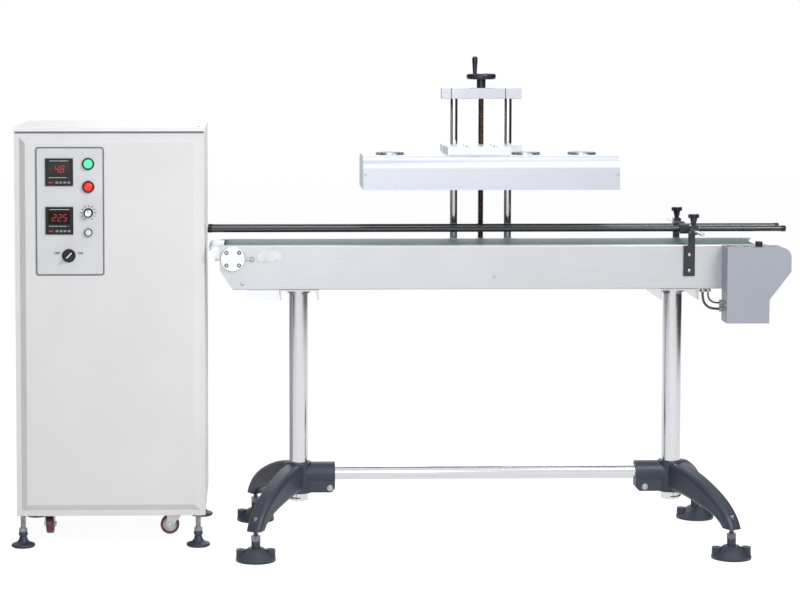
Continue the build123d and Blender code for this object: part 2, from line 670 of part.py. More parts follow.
def caster_wheel(place):
    """Caster wheel with a rounded tread, a dished web and a hub."""
    x, y = caster_places()[place]
    half = CASTER_WHEEL_WIDTH / 2
    rim = CASTER_WHEEL_RADIUS - CASTER_TREAD
    profile = [
        (CASTER_AXLE_RADIUS + RUNNING_FIT, -half),
        (CASTER_AXLE_RADIUS + 4.0, -half),
        (CASTER_AXLE_RADIUS + 4.0, -half * 0.4),
        (rim - 2.0, -half * 0.4),
        (rim, -half),
        (CASTER_WHEEL_RADIUS - 1.5, -half),
        (CASTER_WHEEL_RADIUS, -half + 2.5),
        (CASTER_WHEEL_RADIUS, half - 2.5),
        (CASTER_WHEEL_RADIUS - 1.5, half),
        (rim, half),
        (rim - 2.0, half * 0.4),
        (CASTER_AXLE_RADIUS + 4.0, half * 0.4),
        (CASTER_AXLE_RADIUS + 4.0, half),
        (CASTER_AXLE_RADIUS + RUNNING_FIT, half),
    ]
    wheel = Pos(CASTER_TRAIL, 0, CASTER_WHEEL_Z) * Rot(90, 0, 0) * turned(profile)
    return Pos(x, y, 0) * Rot(0, 0, CASTER_REST_DEG[place]) * wheel


def power_module():
    """Inverter chassis with a finned heat sink, standing on the cabinet's floor."""
    middle = (CABINET_X[0] + CABINET_X[1]) / 2
    depth = CABINET_Y[1] - CABINET_SHEET - 20
    floor = CABINET_BOTTOM_Z + CABINET_FLOOR
    width, deep, high = MODULE_SIZE
    x = (middle - width / 2, middle + width / 2)
    y = (depth - deep, depth)
    module = block(x, y, (floor, floor + high))
    fin_width, fin_height = MODULE_FIN
    step = (width - fin_width) / (MODULE_FIN_COUNT - 1)
    for index in range(MODULE_FIN_COUNT):
        left = x[0] + index * step
        module += block((left, left + fin_width), y, (floor + high, floor + high + fin_height))
    return module


# Conveyor

def front_side_plate():
    """Folded side plate: a channel with inward flanges and clipped lower corners."""
    section = Rectangle(SIDE_FLANGE, SIDE_HEIGHT, align=(Align.MIN, Align.MIN))
    section = fillet(section.vertices().group_by(Axis.X)[0], SIDE_SHEET)
    inner_size = (SIDE_FLANGE, SIDE_HEIGHT - 2 * SIDE_SHEET)
    inner = Pos(SIDE_SHEET, SIDE_SHEET) * Rectangle(*inner_size, align=(Align.MIN, Align.MIN))
    channel = Pos(-FRAME_HALF_WIDTH, SIDE_BOTTOM_Z) * (section - inner)
    plate = prism_x(channel, SIDE_X)
    across = (-FRAME_HALF_WIDTH - 1, -FRAME_HALF_WIDTH + SIDE_FLANGE + 1)
    run, rise = SIDE_CHAMFER
    for end, side in ((SIDE_X[0], 1), (SIDE_X[1], -1)):
        clip = Polyline(
            (end - side, SIDE_BOTTOM_Z - 1),
            (end + side * run, SIDE_BOTTOM_Z - 1),
            (end + side * run, SIDE_BOTTOM_Z),
            (end, SIDE_BOTTOM_Z + rise),
            (end - side, SIDE_BOTTOM_Z + rise),
            close=True,
        )
        plate -= prism_y(make_face(clip), across)
    for x in (0.0, PULLEY_SPAN):
        plate -= bar_y(x, across, PULLEY_Z, SHAFT_RADIUS + 3.0)
    plate -= bar_y(RETURN_X, across, return_roller_z(), RETURN_PIN_RADIUS + RUNNING_FIT)
    return plate


def return_roller_z():
    """Height of the return roller's axis, just under the belt's lower run."""
    return PULLEY_Z - BELT_LOOP_RADIUS - BELT_THICK - SIDE_PLAY - RETURN_RADIUS


def rear_side_plate():
    """The same side plate on the far side."""
    return mirror(front_side_plate(), Plane.XZ)


def slider_bed():
    """Flat bed under the belt with side flanges against the plates."""
    start = BELT_LOOP_RADIUS + BED_END_GAP
    x = (start, PULLEY_SPAN - start)
    top = BELT_TOP_Z - BELT_THICK
    bed = block(x, (-SIDE_INNER, SIDE_INNER), (top - BED_SHEET, top))
    for side in (-1, 1):
        y = sorted((side * SIDE_INNER, side * (SIDE_INNER - BED_SHEET)))
        bed += block(x, y, (top - BED_FLANGE, top))
    return bed


def conveyor_belt():
    """Endless belt around both pulleys."""
    height = 2 * BELT_LOOP_RADIUS
    loop = SlotCenterToCenter(PULLEY_SPAN, height + 2 * BELT_THICK)
    loop -= SlotCenterToCenter(PULLEY_SPAN, height)
    return prism_y(Pos(PULLEY_SPAN / 2, PULLEY_Z) * loop, (-BELT_WIDTH / 2, BELT_WIDTH / 2))


def pulley(x, front_end, rear_end):
    """Crowned pulley on its through shaft."""
    radius = BELT_LOOP_RADIUS - SIDE_PLAY
    half = BELT_WIDTH / 2 - 2.0
    profile = [
        (0, -half),
        (radius - PULLEY_CROWN, -half),
        (radius, -half / 3),
        (radius, half / 3),
        (radius - PULLEY_CROWN, half),
        (0, half),
    ]
    drum = Pos(x, 0, PULLEY_Z) * Rot(90, 0, 0) * turned(profile)
    return drum + bar_y(x, (-front_end, rear_end), PULLEY_Z, SHAFT_RADIUS)


def tail_pulley():
    """Idle pulley at the cabinet's end."""
    reach = FRAME_HALF_WIDTH + BEARING_THICK - BEARING_SKIN - SIDE_PLAY
    return pulley(0.0, reach, reach)


def drive_pulley():
    """Driven pulley whose shaft reaches into the gearbox."""
    rear = FRAME_HALF_WIDTH + BEARING_THICK - BEARING_SKIN - SIDE_PLAY
    front = FRAME_HALF_WIDTH + BEARING_THICK + SIDE_PLAY + GEARBOX_SIZE[1] - 6.0
    return pulley(PULLEY_SPAN, front, rear)


def pulley_bearings():
    """Round bearing covers on the side plates, closed except beside the gearbox."""
    covers = []
    for x, side in ((0.0, -1), (0.0, 1), (PULLEY_SPAN, -1), (PULLEY_SPAN, 1)):
        near = side * FRAME_HALF_WIDTH
        far = side * (FRAME_HALF_WIDTH + BEARING_THICK)
        open_through = x > 0 and side < 0
        radius = DRIVE_BEARING_RADIUS if open_through else BEARING_RADIUS
        cover = bar_y(x, sorted((near, far)), PULLEY_Z, radius)
        rim = cover.faces().sort_by(Axis.Y)[0 if side < 0 else -1].edges()
        cover = chamfer(rim, 1.5)
        depth = far + side if open_through else far - side * BEARING_SKIN
        cover -= bar_y(x, sorted((near - side, depth)), PULLEY_Z, SHAFT_RADIUS + RUNNING_FIT)
        covers.append(cover)
    return covers


def return_roller():
    """Roller that carries the belt's lower run, on pins in the side plates."""
    z = return_roller_z()
    roller = bar_y(RETURN_X, (-BELT_WIDTH / 2, BELT_WIDTH / 2), z, RETURN_RADIUS)
    return roller + bar_y(RETURN_X, (-FRAME_HALF_WIDTH, FRAME_HALF_WIDTH), z, RETURN_PIN_RADIUS)


def belt_guards():
    """Nose guard over the tail pulley and a tray under the belt's lower run."""
    top = BELT_TOP_Z - SIDE_SHEET
    left = SIDE_X[0] - NOSE_REACH
    face = Polyline(
        (-NOSE_BACK, top),
        (left, top),
        (left, top - NOSE_DROP),
        (left + NOSE_SHEET, top - NOSE_DROP),
        (left + NOSE_SHEET, top - NOSE_SHEET),
        (-NOSE_BACK, top - NOSE_SHEET),
        close=True,
    )
    bent = make_face(face)
    corner = bent.vertices().group_by(Axis.X)[0].sort_by(Axis.Y)[-1]
    bent = fillet(corner, NOSE_RADIUS)
    inside = bent.vertices().sort_by_distance((left + NOSE_SHEET, top - NOSE_SHEET))[0]
    bent = fillet(inside, NOSE_RADIUS - NOSE_SHEET)
    nose = prism_y(bent, (-SIDE_INNER, SIDE_INNER))
    cheek_x = (left + NOSE_SHEET / 2, SIDE_X[0] + 14.0)
    clip = cheek_x[0] + NOSE_RADIUS
    cheek = make_face(
        Polyline(
            (cheek_x[0], top - NOSE_DROP),
            (cheek_x[1] - 8.0, top - NOSE_DROP),
            (cheek_x[1], top - NOSE_DROP + 12.0),
            (cheek_x[1], top - NOSE_SHEET / 2),
            (clip, top - NOSE_SHEET / 2),
            (cheek_x[0], top - NOSE_RADIUS),
            close=True,
        )
    )
    for side in (-1, 1):
        y = sorted((side * SIDE_INNER, side * (SIDE_INNER - NOSE_SHEET)))
        nose += prism_y(cheek, y)
    half = SIDE_INNER - 2.0
    tray_z = (SIDE_BOTTOM_Z - TRAY_DEPTH, SIDE_BOTTOM_Z)
    tray = block(TRAY_X, (-half, half), tray_z)
    hollow_y = (-half + TRAY_SHEET, half - TRAY_SHEET)
    tray -= block((TRAY_X[0] - 1, TRAY_X[1] + 1), hollow_y, (tray_z[0] + TRAY_SHEET, tray_z[1] + 1))
    return [nose, tray]


def drive_outline():
    """Outline of the drive box: a wide top on a narrower leg, as an X-Z face."""
    leg = DRIVE_X[0] + DRIVE_LEG_WIDTH
    face = make_face(
        Polyline(
            (DRIVE_X[0], DRIVE_BOTTOM_Z),
            (leg, DRIVE_BOTTOM_Z),
            (leg, DRIVE_STEP_Z),
            (DRIVE_X[1], DRIVE_SHOULDER_Z),
            (DRIVE_X[1], DRIVE_TOP_Z),
            (DRIVE_X[0], DRIVE_TOP_Z),
            close=True,
        )
    )
    corner = face.vertices().group_by(Axis.X)[-1].sort_by(Axis.Y)[-1]
    return fillet(corner, DRIVE_CORNER)


def drive_box():
    """Folded drive cover: closed front and rim, with a back sheet below the side plate."""
    outline = drive_outline()
    cover = prism_y(outline, DRIVE_Y)
    cover -= prism_y(offset(outline, -DRIVE_SHEET), (DRIVE_Y[0] + DRIVE_SHEET, DRIVE_Y[1] + 1))
    leg = (DRIVE_X[0] + 1.0, DRIVE_X[0] + DRIVE_LEG_WIDTH - 1.0)
    back = (DRIVE_Y[1] - DRIVE_SHEET, DRIVE_Y[1])
    cover += block(leg, back, (DRIVE_BOTTOM_Z + 1.0, DRIVE_STEP_Z))
    knob_x, knob_y = speed_knob_place()
    above = (DRIVE_TOP_Z - DRIVE_SHEET - 1, DRIVE_TOP_Z + 1)
    cover -= bar_z(knob_x, knob_y, above, SPEED_SHAFT_RADIUS + RUNNING_FIT)
    well_x, well_y = rocker_limits(1.5)
    cover -= block(well_x, well_y, above)
    wall_x, wall_y = rocker_limits(3.5)
    frame = block(wall_x, wall_y, (DRIVE_TOP_Z - ROCKER_WELL, DRIVE_TOP_Z + 1.0))
    frame -= block(well_x, well_y, (DRIVE_TOP_Z - ROCKER_WELL + 2.0, DRIVE_TOP_Z + 2.0))
    middle = (well_x[0] + well_x[1]) / 2
    pin_hole = (wall_y[0] - 1, wall_y[1] + 1)
    frame -= bar_y(middle, pin_hole, rocker_axis_z(), ROCKER_PIN_RADIUS + RUNNING_FIT)
    return cover + frame


def speed_knob_place():
    """Centre of the speed knob on the drive box's top."""
    return PULLEY_SPAN + SPEED_KNOB_X, DRIVE_Y[0] + SPEED_KNOB_IN


def rocker_limits(margin):
    """X and Y limits of the rocker with a margin around it."""
    middle = (PULLEY_SPAN + ROCKER_X, DRIVE_Y[0] + SPEED_KNOB_IN)
    return tuple(
        (centre - size / 2 - margin, centre + size / 2 + margin) for centre, size in zip(middle, ROCKER_SIZE)
    )


def rocker_axis_z():
    """Height of the rocker's pivot, below the drive box's top."""
    return DRIVE_TOP_Z - 5.0


def rocker_switch():
    """Rocker with a shallow V top on a cross pin."""
    x, y = rocker_limits(0.0)
    middle = (x[0] + x[1]) / 2
    axis = rocker_axis_z()
    slope = math.tan(math.radians(ROCKER_TRAVEL_DEG)) * ROCKER_SIZE[0] / 2
    profile = Polyline(
        (x[0], DRIVE_TOP_Z + 1.0 + slope),
        (middle, DRIVE_TOP_Z + 1.0),
        (x[1], DRIVE_TOP_Z + 1.0 + slope),
        (x[1] - 1.5, axis - 1.0),
        (middle, axis - 3.5),
        (x[0] + 1.5, axis - 1.0),
        close=True,
    )
    body = prism_y(make_face(profile), y)
    reach = (y[0] - 3.0, y[1] + 3.0)
    body += bar_y(middle, reach, axis, ROCKER_PIN_RADIUS)
    return body.rotate(Axis((middle, 0, axis), (0, 1, 0)), ROCKER_TRAVEL_DEG)


def speed_knob():
    """Small speed knob with a shaft into the drive box."""
    x, y = speed_knob_place()
    low = DRIVE_TOP_Z + SIDE_PLAY
    knob = bar_z(x, y, (low, low + SPEED_KNOB_HEIGHT), SPEED_KNOB_RADIUS)
    knob = chamfer(knob.faces().sort_by(Axis.Z)[-1].edges(), 1.0)
    return knob + bar_z(x, y, (DRIVE_TOP_Z - DRIVE_SHEET - 4.0, low), SPEED_SHAFT_RADIUS)


def gearmotor():
    """Worm gearmotor on the drive shaft, its motor hanging down inside the box."""
    back = -FRAME_HALF_WIDTH - BEARING_THICK - SIDE_PLAY
    width, depth, height = GEARBOX_SIZE
    y = (back - depth, back)
    right = PULLEY_SPAN + width / 2
    top = DRIVE_TOP_Z - DRIVE_SHEET - GEARBOX_GAP
    low = top - height
    case = block((right - width, right), y, (low, top))
    case = fillet(case.edges().filter_by(Axis.Y), 9.0)
    motor_x = PULLEY_SPAN - WORM_OFFSET
    middle = (y[0] + y[1]) / 2
    end = DRIVE_BOTTOM_Z + DRIVE_SHEET + MOTOR_END_GAP
    collar = bar_z(motor_x, middle, (low - 6.0, low + 2.0), MOTOR_RADIUS - 3.0)
    motor = bar_z(motor_x, middle, (end, low - 6.0), MOTOR_RADIUS)
    motor = fillet(motor.faces().sort_by(Axis.Z)[0].edges(), 5.0)
    bore = (back - depth - 1, back + 1)
    unit = case + collar + motor - bar_y(PULLEY_SPAN, bore, PULLEY_Z, SHAFT_RADIUS + RUNNING_FIT)
    foot_x = (right - width + 1.0, right - width + 12.0)
    return unit + block(foot_x, (back - 2.0, DRIVE_Y[1]), (low + 9.0, top - 9.0))


def lead_route(to_box, gland_drop):
    """Points from a gland under the front side plate to one on the drive box's side."""
    x = DRIVE_X[0] - to_box
    end = DRIVE_X[0] - GLAND_LENGTH
    y = -FRAME_HALF_WIDTH + LEAD_INSIDE
    out = -FRAME_HALF_WIDTH - LEAD_OUTSIDE
    top = SIDE_BOTTOM_Z - GLAND_TOP_LENGTH
    low = SIDE_BOTTOM_Z - gland_drop
    run = end - x
    fall = top - low
    return [
        (x, y, top),
        (x, y, top - 0.42 * fall),
        (x + 0.16 * run, y + 0.4 * (out - y), low + 0.19 * fall),
        (x + 0.52 * run, out, low),
        (end, out, low),
    ]


def lead(name, route, radius):
    """A round lead whose arcs are as large as the runs beside them allow."""
    points = [Vector(*point) for point in route]
    runs = [points[i + 1] - points[i] for i in range(len(points) - 1)]
    radii = []
    for before, after in zip(runs, runs[1:]):
        turn = math.radians(before.get_angle(after))
        radii.append(0.45 * min(before.length, after.length) / math.tan(turn / 2))
    path = FilletPolyline(*points, radius=radii)
    section = Plane(origin=path @ 0, z_dir=path % 0) * Circle(radius)
    tube = sweep(section, path=path)
    share = tube.volume / (math.pi * radius ** 2 * path.length)
    print(name, "length", round(path.length, 1), "radii", [round(r, 1) for r in radii], "volume", round(share, 4))
    return tube


def cable_glands():
    """Cable glands under the frame, on the drive box's side and on the cabinet's back."""
    parts = []
    for to_box, drop in zip(LEAD_TO_BOX, LEAD_GLAND_Z):
        route = lead_route(to_box, drop)
        x, y, z = route[0]
        parts.append(bar_z(x, y, (z, SIDE_BOTTOM_Z), GLAND_RADIUS))
        x, y, z = route[-1]
        parts.append(bar_x((x, DRIVE_X[0]), y, z, GLAND_RADIUS))
    middle = (CABINET_X[0] + CABINET_X[1]) / 2
    for shift in (-REAR_GLAND_SPREAD, REAR_GLAND_SPREAD):
        y = (CABINET_Y[1], CABINET_Y[1] + REAR_GLAND_LENGTH)
        parts.append(bar_y(middle + shift, y, CABINET_BOTTOM_Z + REAR_GLAND_RISE, REAR_GLAND_RADIUS))
    return parts


# Stand

def legs():
    """Two round legs, each welded under a folded saddle that ties the side plates."""
    parts = []
    for x in LEG_X:
        top = (SIDE_BOTTOM_Z - SADDLE_THICK, SIDE_BOTTOM_Z)
        span = (x - SADDLE_HALF, x + SADDLE_HALF)
        depth = (-FRAME_HALF_WIDTH, FRAME_HALF_WIDTH)
        leg = block(span, depth, top)
        for low in (span[0], span[1] - SADDLE_THICK):
            leg += block((low, low + SADDLE_THICK), depth, (SIDE_BOTTOM_Z - SADDLE_DROP, SIDE_BOTTOM_Z))
        leg += bar_z(x, 0, (top[0] - SADDLE_COLLAR, top[0]), SADDLE_COLLAR_RADIUS)
        leg += bar_z(x, 0, (LEG_BOTTOM_Z, top[0]), LEG_RADIUS)
        leg -= bar_z(x, 0, (LEG_BOTTOM_Z - 1, top[0]), LEG_RADIUS - LEG_WALL)
        parts.append(leg)
    return parts


def arm_section(reach, height, pitch, width, deep, outward):
    """A rounded section of a bipod arm, square to its curved centreline at a reach from the hub."""
    span = math.hypot(FOOT_OUT, FOOT_SPREAD)
    plan = Vector(outward * FOOT_OUT / span, -FOOT_SPREAD / span, 0)
    slope = math.radians(pitch)
    along = plan * math.cos(slope) + Vector(0, 0, -math.sin(slope))
    centre = plan * reach * span
    plane = Plane(origin=(centre.X, centre.Y, height), x_dir=(-plan.Y, plan.X, 0), z_dir=along)
    return plane * RectangleRounded(width, deep, ARM_CORNER)


def bipod(x, outward):
    """Moulded bipod: a hub on the leg, two arched arms and a deep sleeve for the stretcher."""
    arm = loft([arm_section(*station, outward) for station in ARM_STATIONS])
    body = arm + mirror(arm, Plane.XZ)
    hub = bar_z(0, 0, HUB_Z, HUB_RADIUS)
    hub = fillet(hub.faces().sort_by(Axis.Z)[-1].edges(), 5.0)
    body += hub
    inward = -outward
    sleeve = sorted((0.0, inward * SLEEVE_REACH))
    body += bar_x(sleeve, 0, STRETCHER_Z, SLEEVE_RADIUS)
    wide, drop = SLEEVE_KEEL
    keel = block(sleeve, (-wide / 2, wide / 2), (STRETCHER_Z - drop, STRETCHER_Z))
    tip = keel.edges().filter_by(Axis.Y).group_by(Axis.Z)[0].sort_by(Axis.X)[-1 if inward > 0 else 0]
    body += chamfer(tip, SLEEVE_CHAMFER)
    body -= bar_z(0, 0, (HUB_Z[0] - 20, HUB_Z[1] + 1), LEG_RADIUS + STATIC_FIT)
    bore = sorted((inward * SLEEVE_STOP, inward * (SLEEVE_REACH + 1)))
    body -= bar_x(bore, 0, STRETCHER_Z, STRETCHER_RADIUS + STATIC_FIT)
    for side in (-1, 1):
        hole = (ARM_END_Z - 1, STAND_STUD_TOP + 1)
        body -= bar_z(outward * FOOT_OUT, side * FOOT_SPREAD, hole, STUD_RADIUS + STATIC_FIT)
    return Pos(x, 0, 0) * body


def stand_foot_places():
    """Centres of the stand's four feet."""
    xs = (LEG_X[0] - FOOT_OUT, LEG_X[1] + FOOT_OUT)
    return [(x, y) for y in (-FOOT_SPREAD, FOOT_SPREAD) for x in xs]


def stretcher_tube():
    """Round tube that ties the two bipods."""
    x = (LEG_X[0] + SLEEVE_STOP, LEG_X[1] - SLEEVE_STOP)
    tube = bar_x(x, 0, STRETCHER_Z, STRETCHER_RADIUS)
    return tube - bar_x((x[0] - 1, x[1] + 1), 0, STRETCHER_Z, STRETCHER_RADIUS - STRETCHER_WALL)


def stand_feet():
    """Four round moulded feet with two anchor bosses each."""
    profile = [
        (0, 0),
        (STAND_FOOT_RADIUS, 0),
        (STAND_FOOT_RADIUS, STAND_FOOT_RIM),
        (STAND_FOOT_RADIUS * 0.68, STAND_FOOT_DOME_Z * 0.66),
        (STAND_FOOT_HUB + 7.0, STAND_FOOT_DOME_Z),
        (STAND_FOOT_HUB, STAND_FOOT_DOME_Z),
        (STAND_FOOT_HUB, STAND_FOOT_HUB_Z),
        (0, STAND_FOOT_HUB_Z),
    ]
    disc = turned(profile)
    for side in (-1, 1):
        disc += bar_z(side * ANCHOR_OFFSET, 0, (0, ANCHOR_HEIGHT), ANCHOR_RADIUS)
        disc -= bar_z(side * ANCHOR_OFFSET, 0, (-1, ANCHOR_HEIGHT + 1), ANCHOR_HOLE)
    return [Pos(x, y, 0) * disc for x, y in stand_foot_places()]


# Sealing head

def head_section(inset):
    """The head's section: a rectangle with its two top corners rounded, as a Y-Z face."""
    width = HEAD_WIDTH - 2 * inset
    top = HEAD_TOP_Z - inset
    face = Pos(0, (HEAD_BOTTOM_Z + top) / 2) * Rectangle(width, top - HEAD_BOTTOM_Z)
    return fillet(face.vertices().group_by(Axis.Y)[-1], HEAD_RADIUS - inset)


def head_housing():
    """Bent sheet cover closed by its ends, open below, with three fan openings."""
    cover = prism_x(head_section(0.0), HEAD_X)
    cover -= prism_x(head_section(HEAD_SHEET), (HEAD_X[0] + HEAD_SHEET, HEAD_X[1] - HEAD_SHEET))
    for x in FAN_X:
        through = (HEAD_TOP_Z - HEAD_SHEET - 1, HEAD_TOP_Z + 1)
        cover -= bar_z(x, FAN_Y, through, FAN_BORE + 1.0 + STATIC_FIT)
    return cover


def head_base():
    """Insulating plate that closes the head and carries the coil."""
    gap = HEAD_SHEET + STATIC_FIT
    x = (HEAD_X[0] + gap, HEAD_X[1] - gap)
    half = HEAD_WIDTH / 2 - gap
    plate = block(x, (-half, half), (HEAD_BOTTOM_Z, HEAD_BOTTOM_Z + BASE_THICK))
    for side in (-1, 1):
        reach = side * (COIL_LENGTH / 2 - 60.0)
        plate += block(
            (HEAD_MID_X + reach - 6.0, HEAD_MID_X + reach + 6.0),
            (-COIL_WIDTH / 2 - 6.0, COIL_WIDTH / 2 + 6.0),
            (HEAD_BOTTOM_Z + BASE_THICK, HEAD_BOTTOM_Z + BASE_THICK + COIL_GAP),
        )
    return plate


def induction_coil():
    """Flat racetrack coil of square copper tube, wound inwards turn by turn."""
    z = HEAD_BOTTOM_Z + BASE_THICK + COIL_GAP + COIL_SECTION / 2
    points = [(HEAD_MID_X - COIL_LENGTH / 2, -COIL_WIDTH / 2 + COIL_PITCH, z)]
    for turn in range(COIL_TURNS):
        half_x = COIL_LENGTH / 2 - turn * COIL_PITCH
        half_y = COIL_WIDTH / 2 - turn * COIL_PITCH
        points += [
            (HEAD_MID_X - half_x, half_y, z),
            (HEAD_MID_X + half_x, half_y, z),
            (HEAD_MID_X + half_x, -half_y, z),
            (HEAD_MID_X - half_x + COIL_PITCH, -half_y, z),
        ]
    points[-1] = (HEAD_MID_X - COIL_LENGTH / 4, points[-1][1], z)
    path = FilletPolyline(*points, radius=COIL_CORNER - COIL_PITCH / 2)
    section = Plane(origin=path @ 0, z_dir=path % 0) * Rectangle(COIL_SECTION, COIL_SECTION)
    return sweep(section, path=path)


def fan_frames():
    """Three moulded fan frames with struts below and a raised finger guard above."""
    low = HEAD_TOP_Z - HEAD_SHEET - FAN_DEPTH
    seat = HEAD_TOP_Z - HEAD_SHEET
    top = HEAD_TOP_Z + FAN_GUARD_RISE
    half = FAN_SIZE / 2
    parts = []
    for x in FAN_X:
        frame = block((x - half, x + half), (FAN_Y - half, FAN_Y + half), (low, seat))
        frame = fillet(frame.edges().filter_by(Axis.Z), 5.0)
        frame += bar_z(x, FAN_Y, (low, top), FAN_BORE + 1.0)
        frame -= bar_z(x, FAN_Y, (low - 1, top + 1), FAN_BORE - 0.5)
        rings = Circle(FAN_HUB - 5.0)
        for radius in FAN_GUARD_RINGS:
            rings += Circle(radius + 1.0) - Circle(radius - 1.0)
        rings += Circle(FAN_BORE + 1.0) - Circle(FAN_BORE - 1.5)
        for angle in (45.0, 135.0):
            rings += Rot(0, 0, angle) * Rectangle(2 * FAN_BORE, 2.5)
        frame += Pos(x, FAN_Y, top - 2.0) * extrude(rings, 2.0)
        struts = Circle(FAN_HUB)
        for angle in (0.0, 120.0, 240.0):
            struts += Rot(0, 0, angle) * Pos(FAN_BORE / 2, 0) * Rectangle(FAN_BORE, 5.0)
        frame += Pos(x, FAN_Y, low) * extrude(struts, 3.0)
        frame += bar_z(x, FAN_Y, (low + 2.0, seat - 6.0), FAN_PIN_RADIUS)
        parts.append(frame)
    return parts


def fan_rotor(x):
    """Fan rotor: a cup hub with twisted blades, bored for the frame's pin."""
    low = HEAD_TOP_Z - HEAD_SHEET - FAN_DEPTH + 4.5
    high = HEAD_TOP_Z - HEAD_SHEET - 2.0
    middle = (low + high) / 2
    rotor = bar_z(0, 0, (low, high), FAN_HUB)
    tip = FAN_BORE - 1.5
    sections = []
    for radius, pitch in ((FAN_HUB - 1.0, 50.0), (tip, 28.0)):
        plane = Plane(origin=(radius, 0, middle), x_dir=(0, 1, 0), z_dir=(1, 0, 0))
        sections.append(plane * (Rot(0, 0, pitch) * Rectangle(15.0, 1.6)))
    blade = loft(sections, ruled=True)
    for index in range(FAN_BLADES):
        rotor += Rot(0, 0, 360.0 * index / FAN_BLADES) * blade
    rotor -= bar_z(0, 0, (low - 1, high - 2.5), FAN_PIN_RADIUS + RUNNING_FIT)
    return Pos(x, FAN_Y, 0) * rotor


# Head lift

def lift_carriage():
    """Stepped carriage plate on the head, with guide bushes and the screw's nut behind."""
    wide = (COLUMN_X[0] - CARRIAGE_SIDE, COLUMN_X[1] + CARRIAGE_SIDE)
    plate = block(wide, CARRIAGE_Y, CARRIAGE_Z)
    plate += block(CARRIAGE_NOSE_X, (CARRIAGE_NOSE_Y, CARRIAGE_Y[0] + 1), CARRIAGE_Z)
    low = CARRIAGE_Z[0] - BUSH_LENGTH
    for x in (*COLUMN_X, SCREW_X):
        plate += bar_z(x, LIFT_Y, (low, CARRIAGE_Z[0]), BUSH_RADIUS)
    for x in COLUMN_X:
        plate -= bar_z(x, LIFT_Y, (low - 1, CARRIAGE_Z[1] + 1), COLUMN_RADIUS + RUNNING_FIT)
    plate -= bar_z(SCREW_X, LIFT_Y, (low - 1, CARRIAGE_Z[1] + 1), SCREW_RADIUS + RUNNING_FIT)
    return plate


def column_bracket():
    """Two-shelf bracket on the rear side plate that holds the columns and the screw's foot."""
    x = (COLUMN_X[0] - BRACKET_SIDE, COLUMN_X[1] + BRACKET_SIDE)
    back = (FRAME_HALF_WIDTH, FRAME_HALF_WIDTH + BRACKET_BACK)
    bracket = block(x, back, BRACKET_Z)
    reach = (back[1] - 1, FRAME_HALF_WIDTH + BRACKET_REACH)
    for low in (BRACKET_Z[0], BRACKET_Z[1] - BRACKET_SHELF):
        bracket += block(x, reach, (low, low + BRACKET_SHELF))
    through = (BRACKET_Z[0] - 1, BRACKET_Z[1] + 1)
    for column in COLUMN_X:
        bracket -= bar_z(column, LIFT_Y, through, COLUMN_RADIUS)
    bracket -= bar_z(SCREW_X, LIFT_Y, through, SCREW_JOURNAL + RUNNING_FIT)
    return bracket


def guide_columns():
    """Two ground columns from the bracket to the crossbar."""
    return [bar_z(x, LIFT_Y, (BRACKET_Z[0], CROSSBAR_Z[1]), COLUMN_RADIUS) for x in COLUMN_X]


def top_crossbar():
    """Bar across the columns, slit at each column, with the screw's upper bearing."""
    x = (COLUMN_X[0] - CROSSBAR_SIDE, COLUMN_X[1] + CROSSBAR_SIDE)
    y = (LIFT_Y - CROSSBAR_DEPTH / 2, LIFT_Y + CROSSBAR_DEPTH / 2)
    bar = chamfer(block(x, y, CROSSBAR_Z).edges().filter_by(Axis.X), 1.0)
    through = (CROSSBAR_Z[0] - 1, CROSSBAR_Z[1] + 1)
    for column in COLUMN_X:
        bar -= bar_z(column, LIFT_Y, through, COLUMN_RADIUS)
        left = column - COLUMN_RADIUS
        bar -= block((left, left + CROSSBAR_SLIT), (y[0] - 1, LIFT_Y), through)
    return bar - bar_z(SCREW_X, LIFT_Y, through, SCREW_JOURNAL + RUNNING_FIT)


def lead_screw():
    """Lead screw with a journal at its foot and another through the crossbar."""
    thread = (BRACKET_Z[1] + SIDE_PLAY, CROSSBAR_Z[0] - SIDE_PLAY)
    screw = bar_z(SCREW_X, LIFT_Y, thread, SCREW_RADIUS)
    top = CROSSBAR_Z[1] + SIDE_PLAY
    return screw + bar_z(SCREW_X, LIFT_Y, (BRACKET_Z[0], top), SCREW_JOURNAL)


def grip_place():
    """Centre of the grip on the handwheel."""
    angle = math.radians(GRIP_DEG)
    return SCREW_X + GRIP_RADIUS * math.cos(angle), LIFT_Y + GRIP_RADIUS * math.sin(angle)


def handwheel():
    """Three-spoke handwheel on a hub, with the pin for its grip."""
    low = CROSSBAR_Z[1] + SIDE_PLAY
    rim_z = (low + WHEEL_HUB, low + WHEEL_HUB + WHEEL_THICK)
    face = Circle(WHEEL_RADIUS) - Circle(WHEEL_RADIUS - 2 * WHEEL_RIM)
    web = Circle(WHEEL_HUB_RADIUS)
    for index in range(WHEEL_SPOKES):
        angle = GRIP_DEG + index * 360.0 / WHEEL_SPOKES
        web += Rot(0, 0, angle) * Pos(WHEEL_RADIUS / 2 - 3, 0) * Rectangle(WHEEL_RADIUS - 6, 9.0)
    rim = extrude(face, WHEEL_THICK)
    rim = fillet(rim.edges(), 6.0)
    wheel = Pos(SCREW_X, LIFT_Y, rim_z[0]) * (rim + Pos(0, 0, 3.0) * extrude(web, WHEEL_THICK - 6.0))
    wheel += bar_z(SCREW_X, LIFT_Y, (low, rim_z[1] - 2.0), WHEEL_HUB_RADIUS)
    x, y = grip_place()
    top = rim_z[1] + GRIP_LENGTH - 4.0
    return wheel + bar_z(x, y, (rim_z[0] + 4.0, top), GRIP_PIN_RADIUS)


